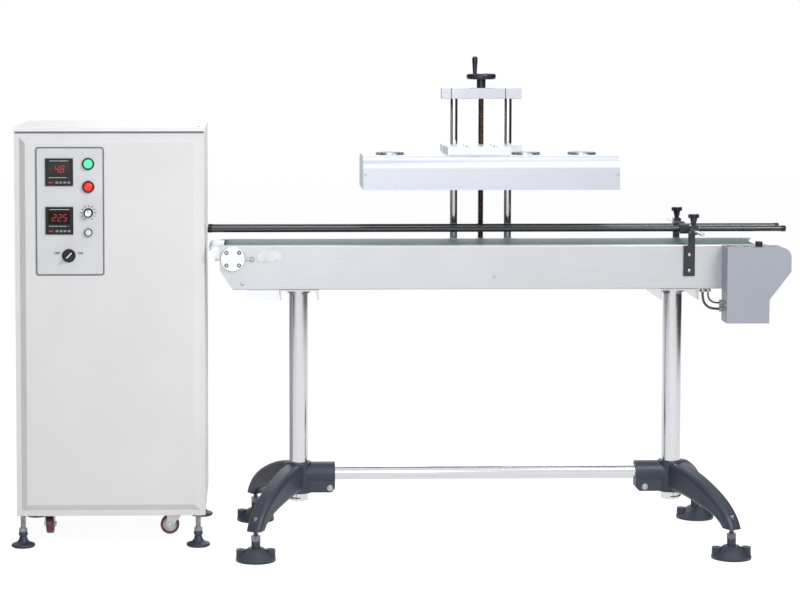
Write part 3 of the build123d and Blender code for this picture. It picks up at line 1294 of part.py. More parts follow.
def wheel_handle():
    """Tapered grip that turns on the handwheel's pin."""
    x, y = grip_place()
    low = CROSSBAR_Z[1] + SIDE_PLAY + WHEEL_HUB + WHEEL_THICK + SIDE_PLAY
    bore = GRIP_PIN_RADIUS + RUNNING_FIT
    profile = [
        (bore, 0),
        (GRIP_BASE_RADIUS, 0),
        (GRIP_BASE_RADIUS, 3.0),
        (GRIP_TOP_RADIUS, GRIP_LENGTH * 0.75),
        (GRIP_TOP_RADIUS, GRIP_LENGTH - 4.0),
        (GRIP_TOP_RADIUS - 3.0, GRIP_LENGTH),
        (0, GRIP_LENGTH),
        (0, GRIP_LENGTH - 3.0),
        (bore, GRIP_LENGTH - 3.0),
    ]
    return Pos(x, y, low) * turned(profile)


# Guide rails, given for the front side; the rear ones are their mirror images

def front_rail():
    """Round guide rail along the whole belt."""
    return bar_x(RAIL_X, -RAIL_Y, RAIL_Z, RAIL_RADIUS)


def rear_rail():
    """Guide rail on the far side."""
    return mirror(front_rail(), Plane.XZ)


def front_rail_arm():
    """Rail clamp block with its adjusting rod towards the operator."""
    wide, deep, high = ARM_BLOCK
    x = (ARM_X + ARM_BLOCK_SHIFT - wide / 2, ARM_X + ARM_BLOCK_SHIFT + wide / 2)
    body = block(x, (-RAIL_Y - deep / 2, -RAIL_Y + deep / 2), (RAIL_Z - high / 2, RAIL_Z + high / 2))
    body = chamfer(body.edges().filter_by(Axis.X), 3.0)
    body += bar_y(ARM_X, (-ARM_REACH, -RAIL_Y - deep / 2 + 4), ARM_Z, ARM_RADIUS)
    return body - bar_x((x[0] - 1, x[1] + 1), -RAIL_Y, RAIL_Z, RAIL_RADIUS)


def rear_rail_arm():
    """Clamp block and rod of the far rail."""
    return mirror(front_rail_arm(), Plane.XZ)


def rail_uprights():
    """Stepped uprights bolted to the side plates, each with a cross clamp for its rod."""
    outer = -FRAME_HALF_WIDTH
    upright = block(UPRIGHT_X, (outer - UPRIGHT_THICK, outer), UPRIGHT_Z)
    neck = (UPRIGHT_X[1] - UPRIGHT_NECK, UPRIGHT_X[1])
    upright += block(neck, (outer - UPRIGHT_THICK, outer), (UPRIGHT_Z[1] - 1, CLAMP_Z[0] + 4.0))
    for z in UPRIGHT_BOLTS_Z:
        upright -= bar_y(UPRIGHT_BOLT_X, (outer - UPRIGHT_THICK - 1, outer + 1), z, UPRIGHT_BOLT_RADIUS)
    half = CLAMP_WIDTH / 2
    clamp = block((ARM_X - half, ARM_X + half), (-CLAMP_Y[1], -CLAMP_Y[0]), CLAMP_Z)
    upright += chamfer(clamp.edges().filter_by(Axis.Y), 3.0)
    upright -= bar_y(ARM_X, (-CLAMP_Y[1] - 1, -CLAMP_Y[0] + 1), ARM_Z, ARM_RADIUS + RUNNING_FIT)
    bore_z = (ARM_Z, CLAMP_Z[1] + 1)
    upright -= bar_z(ARM_X, star_knob_y(), bore_z, STAR_STUD_RADIUS + RUNNING_FIT)
    return mirrored_pair(upright)


def star_knob_y():
    """Y of the front clamping knob, over the middle of its clamp."""
    return -(CLAMP_Y[0] + CLAMP_Y[1]) / 2


def front_star_knob():
    """Lobed clamping knob with a neck and a stud down onto the rod."""
    y = star_knob_y()
    head = Circle(STAR_RADIUS)
    for index in range(STAR_LOBES):
        angle = 360.0 * index / STAR_LOBES
        head += Rot(0, 0, angle) * Pos(STAR_RADIUS, 0) * Circle(STAR_LOBE)
    knob = Pos(ARM_X, y, STAR_Z) * extrude(head, STAR_HEIGHT)
    knob = chamfer(knob.faces().sort_by(Axis.Z)[-1].edges(), 1.0)
    neck_low = CLAMP_Z[1] + SIDE_PLAY
    neck = turned([(0, neck_low), (6.0, neck_low), (STAR_RADIUS, STAR_Z), (0, STAR_Z)])
    knob += Pos(ARM_X, y, 0) * neck
    stud_low = ARM_Z + ARM_RADIUS + SIDE_PLAY
    return knob + bar_z(ARM_X, y, (stud_low, neck_low), STAR_STUD_RADIUS)


def rear_star_knob():
    """Clamping knob of the far rail."""
    return mirror(front_star_knob(), Plane.XZ)


def build():
    """Every sub-part by name, each as one solid or a list of like solids."""
    parts = {
        "cabinet_shell": cabinet_shell(),
        "cabinet_lid": cabinet_lid(),
        "front_panel": front_panel(),
        "panel_fittings": panel_fittings(),
        "signal_lamps": signal_lamps(),
        "power_knob": power_knob(),
        "reset_button": reset_button(),
        "selector_switch": selector_switch(),
        "cabinet_feet": cabinet_feet(),
        "foot_studs": foot_studs(),
        "power_module": power_module(),
        "front_side_plate": front_side_plate(),
        "rear_side_plate": rear_side_plate(),
        "slider_bed": slider_bed(),
        "conveyor_belt": conveyor_belt(),
        "drive_pulley": drive_pulley(),
        "tail_pulley": tail_pulley(),
        "pulley_bearings": pulley_bearings(),
        "return_roller": return_roller(),
        "belt_guards": belt_guards(),
        "drive_box": drive_box(),
        "gearmotor": gearmotor(),
        "speed_knob": speed_knob(),
        "rocker_switch": rocker_switch(),
        "motor_lead": lead("motor_lead", lead_route(LEAD_TO_BOX[0], LEAD_GLAND_Z[0]), LEAD_RADIUS),
        "signal_lead": lead("signal_lead", lead_route(LEAD_TO_BOX[1], LEAD_GLAND_Z[1]), SIGNAL_RADIUS),
        "cable_glands": cable_glands(),
        "legs": legs(),
        "bipod_bases": [bipod(LEG_X[0], -1), bipod(LEG_X[1], 1)],
        "stretcher_tube": stretcher_tube(),
        "stand_feet": stand_feet(),
        "head_housing": head_housing(),
        "head_base": head_base(),
        "induction_coil": induction_coil(),
        "fan_frames": fan_frames(),
        "lift_carriage": lift_carriage(),
        "guide_columns": guide_columns(),
        "column_bracket": column_bracket(),
        "top_crossbar": top_crossbar(),
        "lead_screw": lead_screw(),
        "handwheel": handwheel(),
        "wheel_handle": wheel_handle(),
        "front_rail": front_rail(),
        "rear_rail": rear_rail(),
        "front_rail_arm": front_rail_arm(),
        "rear_rail_arm": rear_rail_arm(),
        "rail_uprights": rail_uprights(),
        "front_star_knob": front_star_knob(),
        "rear_star_knob": rear_star_knob(),
    }
    for place in caster_places():
        parts["caster_fork_" + place] = caster_fork(place)
        parts["caster_wheel_" + place] = caster_wheel(place)
    for name, x in zip(("left", "middle", "right"), FAN_X):
        parts["fan_rotor_" + name] = fan_rotor(x)
    return parts


def as_shape(part):
    """One shape for a node, with a list's solids kept apart."""
    if isinstance(part, list):
        return Compound([solid for item in part for solid in item.solids()])
    return part


# Move everything to the bottom centre of its own box and write it out
PARTS = {name: as_shape(part) for name, part in build().items()}
WHOLE = Compound([solid for part in PARTS.values() for solid in part.solids()]).bounding_box()
SHIFT = Vector(-(WHOLE.min.X + WHOLE.max.X) / 2, -(WHOLE.min.Y + WHOLE.max.Y) / 2, -WHOLE.min.Z)

os.makedirs("parts", exist_ok=True)
for node, shape in PARTS.items():
    export_step(Pos(SHIFT) * shape, "parts/" + node + ".step")
print(len(PARTS), "nodes, box", WHOLE.min, WHOLE.max)
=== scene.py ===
"""Finishes and small parts of a bench-height cap sealer, laid on its fixed frame."""
import math

import bpy
import numpy as np
from bpy.props import FloatProperty, FloatVectorProperty, IntProperty, PointerProperty
from mathutils import Matrix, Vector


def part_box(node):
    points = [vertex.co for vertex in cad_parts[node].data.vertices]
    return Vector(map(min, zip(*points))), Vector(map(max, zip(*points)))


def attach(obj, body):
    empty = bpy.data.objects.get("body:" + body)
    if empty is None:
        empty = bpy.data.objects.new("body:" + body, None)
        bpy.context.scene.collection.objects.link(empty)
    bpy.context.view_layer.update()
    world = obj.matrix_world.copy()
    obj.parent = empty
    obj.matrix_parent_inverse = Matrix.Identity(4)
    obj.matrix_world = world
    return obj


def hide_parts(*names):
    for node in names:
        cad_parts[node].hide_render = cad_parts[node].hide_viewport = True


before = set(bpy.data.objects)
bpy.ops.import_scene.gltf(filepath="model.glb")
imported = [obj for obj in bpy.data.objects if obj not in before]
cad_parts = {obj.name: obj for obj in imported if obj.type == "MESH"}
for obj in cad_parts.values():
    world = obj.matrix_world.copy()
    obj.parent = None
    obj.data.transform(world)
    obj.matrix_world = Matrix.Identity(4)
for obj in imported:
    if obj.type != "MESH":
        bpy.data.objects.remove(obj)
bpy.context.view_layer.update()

bl_info = {
    "name": "Cap sealer finishes",
    "version": (1, 0, 0),
    "blender": (4, 5, 0),
    "location": "3D View > Sidebar > Cap sealer",
    "description": "Finishes, screws, dials and leads of a cap sealer on its fixed frame",
    "category": "Object",
}

MM = 0.001


def reach(node):
    """A node's lowest and highest corners in millimetres."""
    low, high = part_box(node)
    return np.array(low) / MM, np.array(high) / MM


def middle(node):
    """The middle of a node's box in millimetres."""
    low, high = reach(node)
    return (low + high) / 2


# Places in millimetres, read from the frame
TAIL = middle("tail_pulley")
DRIVE = middle("conveyor_belt") * 2 - TAIL
PLATE_FRONT = reach("front_side_plate")[0][1]
PLATE_REAR = reach("rear_side_plate")[1][1]
PLATE_LOW = reach("front_side_plate")[0][2]
COVER_FRONT, COVER_REAR = (corner[1] for corner in reach("pulley_bearings"))
DIAL = middle("power_knob")
RESET = middle("reset_button")
SELECTOR = middle("selector_switch")
LAMPS = reach("signal_lamps")
FITTINGS = reach("panel_fittings")
PANEL = reach("front_panel")
LID = reach("cabinet_lid")
CABINET = reach("cabinet_shell")
BOX = reach("drive_box")
HEAD = reach("head_housing")
CARRIAGE = reach("lift_carriage")
SCREW = reach("lead_screw")
LEGS = reach("legs")
UPRIGHTS = reach("rail_uprights")
RAIL = reach("front_rail")
WHEEL = reach("handwheel")
STRETCHER = reach("stretcher_tube")
SPEED = reach("speed_knob")

# Control pad, in millimetres
PAD_FACE = PANEL[0][1]
PAD_SIZE = (179.0, 337.0)
PAD_RADIUS = 8.0
PAD_CENTRE = (CABINET[1][0] - 350.5, PAD_FACE, 890.5)
METER_X = CABINET[1][0] - 378.0
METER_Z = (993.0, 866.0)
METER_SIZE = 72.0
METER_FACE = PAD_FACE - 5.0
WINDOW_SIZE = (58.0, 34.0)
WINDOW_RISE = 8.0
WINDOW_FLOOR = METER_FACE + 1.5
METER_TEXTS = ("4.8", "225")
DIGIT_SLANT = 0.14
TICK_COUNT = 11
TICK_SWEEP = 300.0
SELECTOR_REST_DEG = 45.0

# Fasteners, in millimetres
COVER_SCREW_SPACING = 33.0
COVER_SCREW_RADIUS = 4.2
PLATE_SCREW = (25.0, 699.6)
UPRIGHT_SCREW_Z = (732.5, 774.5)
UPRIGHT_SCREW_IN = 15.0
TAKE_UP_RADIUS = 3.0
OBLONG_X = (62.0, 127.0)
OBLONG_Z = (757.0, 786.0)
HUB_RADIUS = 35.0
HUB_SCREW_Z = (165.0, 131.0)
SLEEVE_SCREW_Z = 142.0
SLEEVE_SCREWS = (86.0, -75.0)
SLEEVE_FACE = 22.0
FOOT_RADIUS = 31.5
LEG_RADIUS = 25.4
SCREW_RADIUS = 8.0
JOURNAL_RADIUS = 6.0

# Casters: the angle from +X of each fork's trail
CASTERS = {"front_left": 90.0, "front_right": 180.0, "rear_left": 120.0, "rear_right": 60.0}
CASTER_TREAD = 6.0
CASTER_AXLE_END = 16.0

# Leads in metres, from the tail shaft's axis: down out of the side plate and into the drive box's side
MOTOR_ROUTE = [
    (1.2360, -0.0950, 0.6750),
    (1.2360, -0.0950, 0.6569),
    (1.2424, -0.1022, 0.6402),
    (1.2568, -0.1130, 0.6320),
    (1.2760, -0.1130, 0.6320),
]
SIGNAL_ROUTE = [
    (1.2500, -0.0950, 0.6750),
    (1.2500, -0.0950, 0.6637),
    (1.2542, -0.1022, 0.6531),
    (1.2635, -0.1130, 0.6480),
    (1.2760, -0.1130, 0.6480),
]
MOTOR_RADIUS = 3.5
SIGNAL_RADIUS = 2.5
CONDUIT_PITCH = 2.4

# Camera and room, in millimetres from the tail shaft's axis on the floor
CAMERA_PLACE = (54.1, -5923.8, 1363.3)
CAMERA_PITCH_DEG = -3.64
CAMERA_TURN_DEG = -1.30
CAMERA_LENS = 100.6
CAMERA_SHIFT = (0.12, -0.16)
FLOOR_HALF = 14000.0
LIGHTS = {
    "key": ((2700.0, -3300.0, 3500.0), (300.0, 0.0, 800.0), 1800.0, 170.0),
    "front": ((-300.0, -5200.0, 1900.0), (300.0, 0.0, 700.0), 2600.0, 62.0),
    "top": ((400.0, 300.0, 3900.0), (400.0, 0.0, 800.0), 2600.0, 34.0),
    "back": ((600.0, 3200.0, 2600.0), (400.0, 0.0, 800.0), 2400.0, 25.0),
}
ROOM_LEVEL = 0.3
FLOOR_GLOW = 1.3
FLOOR_SHARE = 0.7
DARK_SIDE_X = (-3300.0, 4100.0)
DARK_SIDE_Y = (-5600.0, 5200.0)
DARK_SIDE_HEIGHT = 3400.0

FRONT = np.array([(1.0, 0.0, 0.0), (0.0, 0.0, 1.0), (0.0, -1.0, 0.0)])
REAR = np.array([(-1.0, 0.0, 0.0), (0.0, 0.0, 1.0), (0.0, 1.0, 0.0)])
UP = np.array([(1.0, 0.0, 0.0), (0.0, 1.0, 0.0), (0.0, 0.0, 1.0)])

# Which of seven bars each figure lights: top, upper right, lower right, bottom, lower left, upper left, middle
FIGURES = {"0": "abcdef", "1": "bc", "2": "abged", "4": "fgbc", "5": "afgcd", "8": "abcdefg"}
BARS = {
    "a": (0.0, 1.0, True),
    "b": (0.5, 0.5, False),
    "c": (0.5, -0.5, False),
    "d": (0.0, -1.0, True),
    "e": (-0.5, -0.5, False),
    "f": (-0.5, 0.5, False),
    "g": (0.0, 0.0, True),
}


# Colours and sizes that a user would change


def linear(code):
    """An sRGB hex colour as linear red, green and blue."""
    parts = np.array([int(code[start:start + 2], 16) for start in (1, 3, 5)]) / 255.0
    return tuple(np.where(parts <= 0.04045, parts / 12.92, ((parts + 0.055) / 1.055) ** 2.4).tolist())


def tone(name, code, description):
    """A colour property whose default is an sRGB hex value."""
    return FloatVectorProperty(
        name=name, description=description, default=linear(code), size=3, min=0.0, max=1.0, subtype="COLOR"
    )


class SealerColours(bpy.types.PropertyGroup):
    """The sealer's colours."""

    cabinet: tone("Cabinet", "#D6D6D7", "Powder coat of the cabinet's body and front panel")
    # Lighter than the cabinet's colour, though the same powder coat: painted light on the lid's top.
    lid: tone("Lid", "#E6E6E8", "Powder coat of the cabinet's lid")
    pad: tone("Control pad", "#CDCFD2", "Satin foil behind the controls")
    plate: tone("Side plates", "#B7B9BD", "Brushed stainless sheet of the conveyor's side plates")
    box: tone("Drive box", "#989CA5", "Brushed stainless sheet of the drive box")
    head: tone("Head", "#B6BAC3", "Satin stainless cover of the sealing head")
    tube: tone("Tubes", "#D0D1D4", "Polished stainless tube of the stand")
    bipod: tone("Bipods", "#363C49", "Glass-filled nylon of the bipods and feet")
    rail: tone("Rails", "#26292F", "Black coat of the guide rails")
    belt: tone("Belt", "#2F5A57", "PVC cover of the belt")
    green_lamp: tone("Green lamp", "#4DF0A9", "Lens of the running lamp")
    red_lamp: tone("Red lamp", "#E60505", "Lens of the fault lamp")


class SealerSizes(bpy.types.PropertyGroup):
    """The sealer's dressed sizes, in metres."""

    figure_height: FloatProperty(
        name="Figure height", description="Height of the meters' figures", default=0.017, min=0.005, unit="LENGTH"
    )
    thread_pitch: FloatProperty(
        name="Thread pitch", description="Rise of the lead screw's thread in one turn", default=0.004,
        min=0.002, unit="LENGTH",
    )
    thread_depth: FloatProperty(
        name="Thread depth", description="Depth of the lead screw's thread", default=0.0016, min=0.0005,
        unit="LENGTH",
    )
    letter_height: FloatProperty(
        name="Letter height", description="Height of the words beside the switch", default=0.0085, min=0.002,
        unit="LENGTH",
    )
    thread_sides: IntProperty(
        name="Thread sides", description="Facets around the lead screw", default=28, min=12, max=96
    )


# Surfaces


def skin(rows, closed=False):
    """Quads between neighbouring rings of points, as (points, quads, caps).

    rows is an array of rings, each counter-clockwise about the direction of travel. The first and last
    rings are filled, or joined to each other where the surface is closed.
    """
    count, sides = rows.shape[:2]
    index = np.arange(count * sides).reshape(count, sides)
    if closed:
        index = np.vstack([index, index[:1]])
    ahead = np.roll(index, -1, axis=1)
    quads = np.stack([index[:-1], ahead[:-1], ahead[1:], index[1:]], axis=-1).reshape(-1, 4)
    caps = [] if closed else [index[0, ::-1], index[-1]]
    return rows.reshape(-1, 3), quads, caps


def axes_for(axis):
    """Three unit vectors, the last along the axis and the first two square to it, right-handed."""
    along = np.array(axis, float) / np.linalg.norm(axis)
    helper = np.array([0.0, 0.0, 1.0] if abs(along[2]) < 0.9 else [1.0, 0.0, 0.0])
    across = np.cross(helper, along)
    across /= np.linalg.norm(across)
    return np.array([across, np.cross(along, across), along])


def turned(profile, centre, axis, sides=24, flutes=0, flute_depth=0.0):
    """A profile of (radius, height, corners) rows carried round an axis.

    At angle t the point lies at radius * (1 + flute_depth * cos(flutes * t)) from the axis. In a row with
    corners it lies on a regular polygon: the radius is the distance to its flats, divided by the cosine
    of the angle from the nearest flat's middle.
    """
    rows = np.array(profile, float)
    angle = np.linspace(0.0, 2 * np.pi, sides, endpoint=False)
    radius = rows[:, :1] * (1 + flute_depth * np.cos(flutes * angle))
    corners = rows[:, 2:3]
    step = 2 * np.pi / np.maximum(corners, 1)
    off = (angle + step / 2) % step - step / 2
    radius = np.where(corners > 0, rows[:, :1] / np.cos(np.where(corners > 0, off, 0.0)), radius)
    across, up, along = axes_for(axis)
    ring = np.cos(angle)[:, None] * across + np.sin(angle)[:, None] * up
    points = np.array(centre, float) + radius[..., None] * ring + rows[:, 1, None, None] * along
    return skin(points)


def rounded(width, height, radius, steps=6):
    """A rectangle with four arcs at its corners, counter-clockwise, as (n, 2) points about its middle."""
    turn = np.linspace(0.0, np.pi / 2, steps)
    sides = np.arange(4)[:, None] * np.pi / 2
    angle = (sides + turn).ravel()
    signs = np.repeat(np.array([(1, 1), (-1, 1), (-1, -1), (1, -1)]), steps, axis=0)
    middle_of_arc = signs * np.array([width / 2 - radius, height / 2 - radius])
    return middle_of_arc + radius * np.stack([np.cos(angle), np.sin(angle)], axis=1)


def raised(outlines, heights, centre, axes, closed=False):
    """Flat outlines of equal count, each lifted to its height along the last axis and joined."""
    flat = np.array(outlines)
    points = flat @ axes[:2] + np.array(heights, float)[:, None, None] * axes[2]
    return skin(points + np.array(centre, float), closed)


def slab(width, height, radius, thick, centre, axes, edge=0.3):
    """A rounded plate whose front edge is eased: its outline shrinks by the edge over the same height."""
    outlines = [
        rounded(width, height, radius),
        rounded(width, height, radius),
        rounded(width - 2 * edge, height - 2 * edge, max(radius - edge, 0.01)),
    ]
    return raised(outlines, (0.0, thick - edge, thick), centre, axes)


def bead(width, height, radius, wide, thick, centre, axes):
    """A raised line round a rounded rectangle: outer and inner outlines joined over its crown."""
    inner = (width - 2 * wide, height - 2 * wide, radius - wide)
    crown = (width - wide, height - wide, radius - wide / 2)
    outlines = [
        rounded(width, height, radius),
        rounded(width, height, radius),
        rounded(*crown),
        rounded(*inner),
        rounded(*inner),
    ]
    return raised(outlines, (0.0, 0.6 * thick, thick, 0.6 * thick, 0.0), centre, axes, True)


def swept(line, radii, sides=16):
    """Rings square to a line of points, each of its own radius."""
    along = np.gradient(line, axis=0)
    along /= np.linalg.norm(along, axis=1, keepdims=True)
    across = np.cross(np.array([0.6, 0.8, 0.0]), along)
    across /= np.linalg.norm(across, axis=1, keepdims=True)
    up = np.cross(along, across)
    angle = np.linspace(0.0, 2 * np.pi, sides, endpoint=False)
    ring = np.cos(angle)[:, None] * across[:, None] + np.sin(angle)[:, None] * up[:, None]
    return skin(line[:, None] + np.asarray(radii)[:, None, None] * ring)


def piece(name, shells, material, body, sharp_deg=35.0):
    """One object from closed shells in millimetres, riding on a body and named for a slot."""
    points, faces, start = [], [], 0
    for shell_points, quads, caps in shells:
        points.append(shell_points)
        faces += (quads + start).tolist()
        faces += [(cap + start).tolist() for cap in caps]
        start += len(shell_points)
    mesh = bpy.data.meshes.new(name)
    mesh.from_pydata(np.vstack(points) * MM, [], faces)
    mesh.polygons.foreach_set("use_smooth", np.ones(len(mesh.polygons), bool))
    mesh.set_sharp_from_angle(angle=math.radians(sharp_deg))
    return settle(name, mesh, material, body)


def settle(name, mesh, material, body):
    """Links a finished mesh as an object that rides on its body."""
    mesh.materials.append(material)
    made = bpy.data.objects.new(name, mesh)
    bpy.context.scene.collection.objects.link(made)
    if body:
        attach(made, body)
    return made


def baked(data):
    """The mesh of a curve or text block, taken through a passing object."""
    holder = bpy.data.objects.new("passing", data)
    bpy.context.scene.collection.objects.link(holder)
    seen = holder.evaluated_get(bpy.context.evaluated_depsgraph_get())
    mesh = bpy.data.meshes.new_from_object(seen)
    bpy.data.objects.remove(holder)
    return mesh


def line_along(route):
    """Points in millimetres along the smooth line that a route's control points pull."""
    curve = bpy.data.curves.new("route", "CURVE")
    curve.dimensions = "3D"
    curve.resolution_u = 24
    spline = curve.splines.new("NURBS")
    spline.points.add(len(route) - 1)
    spline.points.foreach_set("co", np.column_stack([route, np.ones(len(route))]).ravel())
    spline.order_u = 3
    spline.use_endpoint_u = True
    mesh = baked(curve)
    points = np.zeros(len(mesh.vertices) * 3)
    mesh.vertices.foreach_get("co", points)
    return points.reshape(-1, 3) / MM


# Materials


def add(tree, kind, settings=None, links=None):
    """Adds a shader node, sets its properties and sockets, and links its inputs."""
    node = tree.nodes.new("ShaderNode" + kind)
    for key, value in (settings or {}).items():
        if isinstance(key, str) and key.islower():
            setattr(node, key, value)
        else:
            node.inputs[key].default_value = value
    for key, socket in (links or {}).items():
        tree.links.new(socket, node.inputs[key])
    return node


def grained(name, colour, shade, grain, depth, roughness, stretch=(1, 1, 1), cloud=160.0, streak=0.3,
            metallic=0.0, second=None, where=None, waves=0.0, **sockets):
    """A finish with a fine grain and a slow drift of shade, and at most a second zone.

    grain and cloud are sizes in mm: noise of the grain's size gives the bump and the roughness, noise of
    the cloud's size mixes the colour with its shade, and streak is the grain's part in that. stretch
    lengthens the grain along an axis. second is (colour, metallic, roughness), used where the mask is 1.
    waves is the pitch in mm of rings along Z, as on a stud's thread.
    """
    material = bpy.data.materials.new(name)
    material.use_nodes = True
    tree = material.node_tree
    surface = tree.nodes["Principled BSDF"]
    for key, value in {"Metallic": metallic, **sockets}.items():
        surface.inputs[key.replace("_", " ")].default_value = value
    place = add(tree, "TexCoord").outputs["Object"]
    spread = add(tree, "Mapping", {"Scale": [1 / part for part in stretch]}, {"Vector": place}).outputs[0]
    fine = add(tree, "TexNoise", {"Scale": 1 / (grain * MM), "Detail": 3.0}, {"Vector": spread}).outputs[0]
    slow = add(tree, "TexNoise", {"Scale": 1 / (cloud * MM), "Detail": 2.0}, {"Vector": place}).outputs[0]
    drift = add(tree, "Mix", {0: streak}, {2: slow, 3: fine}).outputs[0]
    drift = add(tree, "MapRange", {"From Min": 0.38, "From Max": 0.62}, {"Value": drift}).outputs[0]
    tint = add(tree, "Mix", {"data_type": "RGBA", 6: (*colour, 1), 7: (*shade, 1)}, {0: drift}).outputs[2]
    gloss = add(tree, "MapRange", {"To Min": roughness[0], "To Max": roughness[1]}, {"Value": fine}).outputs[0]
    if second:
        mask = where(tree, place)
        other, other_metallic, other_roughness = second
        tint = add(tree, "Mix", {"data_type": "RGBA", 7: (*other, 1)}, {0: mask, 6: tint}).outputs[2]
        gloss = add(tree, "Mix", {3: other_roughness}, {0: mask, 2: gloss}).outputs[0]
        if other_metallic != metallic:
            metal = add(tree, "MapRange", {"To Min": metallic, "To Max": other_metallic}, {"Value": mask})
            tree.links.new(metal.outputs[0], surface.inputs["Metallic"])
    tree.links.new(tint, surface.inputs["Base Color"])
    tree.links.new(gloss, surface.inputs["Roughness"])
    bump = add(tree, "Bump", {"Distance": depth * MM, "Strength": 1.0}, {"Height": fine}).outputs[0]
    if waves:
        rings = add(tree, "TexWave", {"bands_direction": "Z", "Scale": math.pi / (10 * waves * MM)}, {"Vector": place})
        bump = add(tree, "Bump", {"Distance": waves * 0.5 * MM}, {"Height": rings.outputs[0], "Normal": bump}).outputs[0]
    tree.links.new(bump, surface.inputs["Normal"])
    return material


def past(direction, limit):
    """A mask that is 1 where the place along a direction lies past a limit in mm."""
    def mask(tree, place):
        along = add(tree, "VectorMath", {"operation": "DOT_PRODUCT", 1: direction}, {0: place}).outputs["Value"]
        return add(tree, "Math", {"operation": "GREATER_THAN", 1: limit * MM}, {0: along}).outputs[0]
    return mask


def away(centre, radius, flatten=(1, 1, 1)):
    """A mask that is 1 farther than a radius in mm from a centre, with some axes flattened out."""
    def mask(tree, place):
        offset = add(tree, "VectorMath", {"operation": "SUBTRACT", 1: np.array(centre) * MM}, {0: place})
        kept = add(tree, "VectorMath", {"operation": "MULTIPLY", 1: flatten}, {0: offset.outputs[0]})
        length = add(tree, "VectorMath", {"operation": "LENGTH"}, {0: kept.outputs[0]}).outputs["Value"]
        return add(tree, "Math", {"operation": "GREATER_THAN", 1: radius * MM}, {0: length}).outputs[0]
    return mask


def darker(colour, share):
    """A colour with each part scaled."""
    return tuple(part * share for part in colour)


def powder_coated_steel(name, colour):
    """Sheet steel, sprayed with polyester powder and baked: a faint orange peel and a soft sheen.

    The real peel is about 1 mm across; it is drawn at 3 mm, so that it shows at all.
    """
    return grained(name, colour, darker(colour, 0.965), 3.0, 0.012, (0.42, 0.52), IOR=1.5)


def satin_foil(colour):
    """Polyester foil with a printed satin silver: finer than paint, with a slow change of tone."""
    return grained("satin_silver_foil", colour, darker(colour, 0.93), 1.5, 0.004, (0.3, 0.38), cloud=90.0)


def brushed_stainless(name, colour, stretch, metallic=0.82):
    """Cold-rolled stainless sheet, belt-brushed one way: fine straight streaks and a broad dull glint.

    The real lines lie 0.2 mm apart; they are drawn 1.2 mm apart.
    """
    return grained(
        name, colour, darker(colour, 0.93), 1.2, 0.006, (0.36, 0.5), stretch=stretch, streak=0.55,
        metallic=metallic,
    )


def polished_stainless(name, colour, stretch):
    """Welded stainless tube, drawn and mirror-polished: bright, with thin lines along the tube."""
    return grained(
        name, colour, darker(colour, 0.94), 1.6, 0.002, (0.1, 0.2), stretch=stretch, streak=0.6, metallic=1.0
    )


def satin_stainless_cover(colour):
    """Bent stainless cover, blasted and brushed lengthwise: dull in front, white along its bent edge."""
    return grained(
        "satin_stainless_cover", colour, darker(colour, 0.95), 1.6, 0.004, (0.34, 0.42), stretch=(30, 1, 1),
        streak=0.35, metallic=0.8, cloud=260.0,
    )


def satin_anodised_aluminium(name, code):
    """Milled aluminium, bead-blasted and clear anodised: even, slightly sparkling and matt."""
    colour = linear(code)
    return grained(name, colour, darker(colour, 0.92), 1.4, 0.01, (0.34, 0.46), metallic=0.75, cloud=60.0)


def hard_chromed_steel(name):
    """Ground steel bar with hard chrome: near a mirror, with rings too fine to see."""
    colour = linear("#C6C9CE")
    return grained(name, colour, darker(colour, 0.95), 1.0, 0.001, (0.06, 0.12), metallic=1.0, cloud=40.0)


def zinc_plated_steel(name, pitch=0.0):
    """Machined steel with bright zinc: grey with a faint warm and blue cast, a little cloudy.

    pitch draws a stud's thread as rings.
    """
    colour = linear("#B4B6B8")
    return grained(
        name, colour, linear("#A5A5A4"), 1.0, 0.01, (0.24, 0.4), metallic=1.0, cloud=8.0, waves=pitch
    )


def oiled_black_steel():
    """Turned steel with a black oxide under oil: dark brown-grey, with a wet glint on the crests."""
    colour = linear("#57493F")
    return grained("oiled_black_steel", colour, linear("#2C2623"), 0.9, 0.01, (0.22, 0.42), metallic=0.85, cloud=6.0)


def grained_nylon(name, colour):
    """Glass-filled nylon, injection moulded in a spark-eroded mould: dark, leathery and half matt.

    The real grain is 0.3 mm; it is drawn at 1.6 mm.
    """
    return grained(
        name, colour, darker(colour, 0.8), 1.6, 0.05, (0.34, 0.5), cloud=70.0, IOR=1.53, Specular_IOR_Level=0.32
    )


def moulded_phenolic(name, code):
    """Phenolic resin, pressed in a polished mould: near black with a clear gloss."""
    colour = linear(code)
    return grained(
        name, colour, darker(colour, 0.8), 2.5, 0.006, (0.2, 0.3), cloud=25.0, IOR=1.6, Specular_IOR_Level=0.25
    )


def moulded_abs(name, code):
    """ABS, injection moulded: an even colour with a low satin sheen."""
    colour = linear(code)
    return grained(
        name, colour, darker(colour, 0.9), 1.2, 0.01, (0.32, 0.44), cloud=20.0, IOR=1.53, Specular_IOR_Level=0.25
    )


def black_coated_steel(name, colour):
    """Steel bar and strip under a black powder coat: dark, with one long soft highlight."""
    return grained(name, colour, darker(colour, 0.85), 2.0, 0.004, (0.16, 0.26), cloud=50.0)


def rod_and_clamp(name, sign):
    """A black nylon clamp on a bright chromed rod: the rod starts where the clamp's block ends."""
    colour = linear("#25282D")
    start = abs(reach("front_rail")[0][1] - TAIL[1]) + 8.5
    limit = start + sign * TAIL[1]
    return grained(
        name, colour, darker(colour, 0.8), 1.5, 0.02, (0.35, 0.5),
        second=(linear("#D4D7DB"), 1.0, 0.1), where=past((0, sign, 0), limit),
    )


def pvc_belt(colour):
    """Polyester cloth covered with PVC, calendered: dark green, matt, with a fine weave pressed in.

    The real weave is 0.6 mm; it is drawn at 2 mm.
    """
    return grained("pvc_belt", colour, darker(colour, 0.78), 2.0, 0.05, (0.45, 0.62), stretch=(1, 1.6, 1), cloud=45.0)


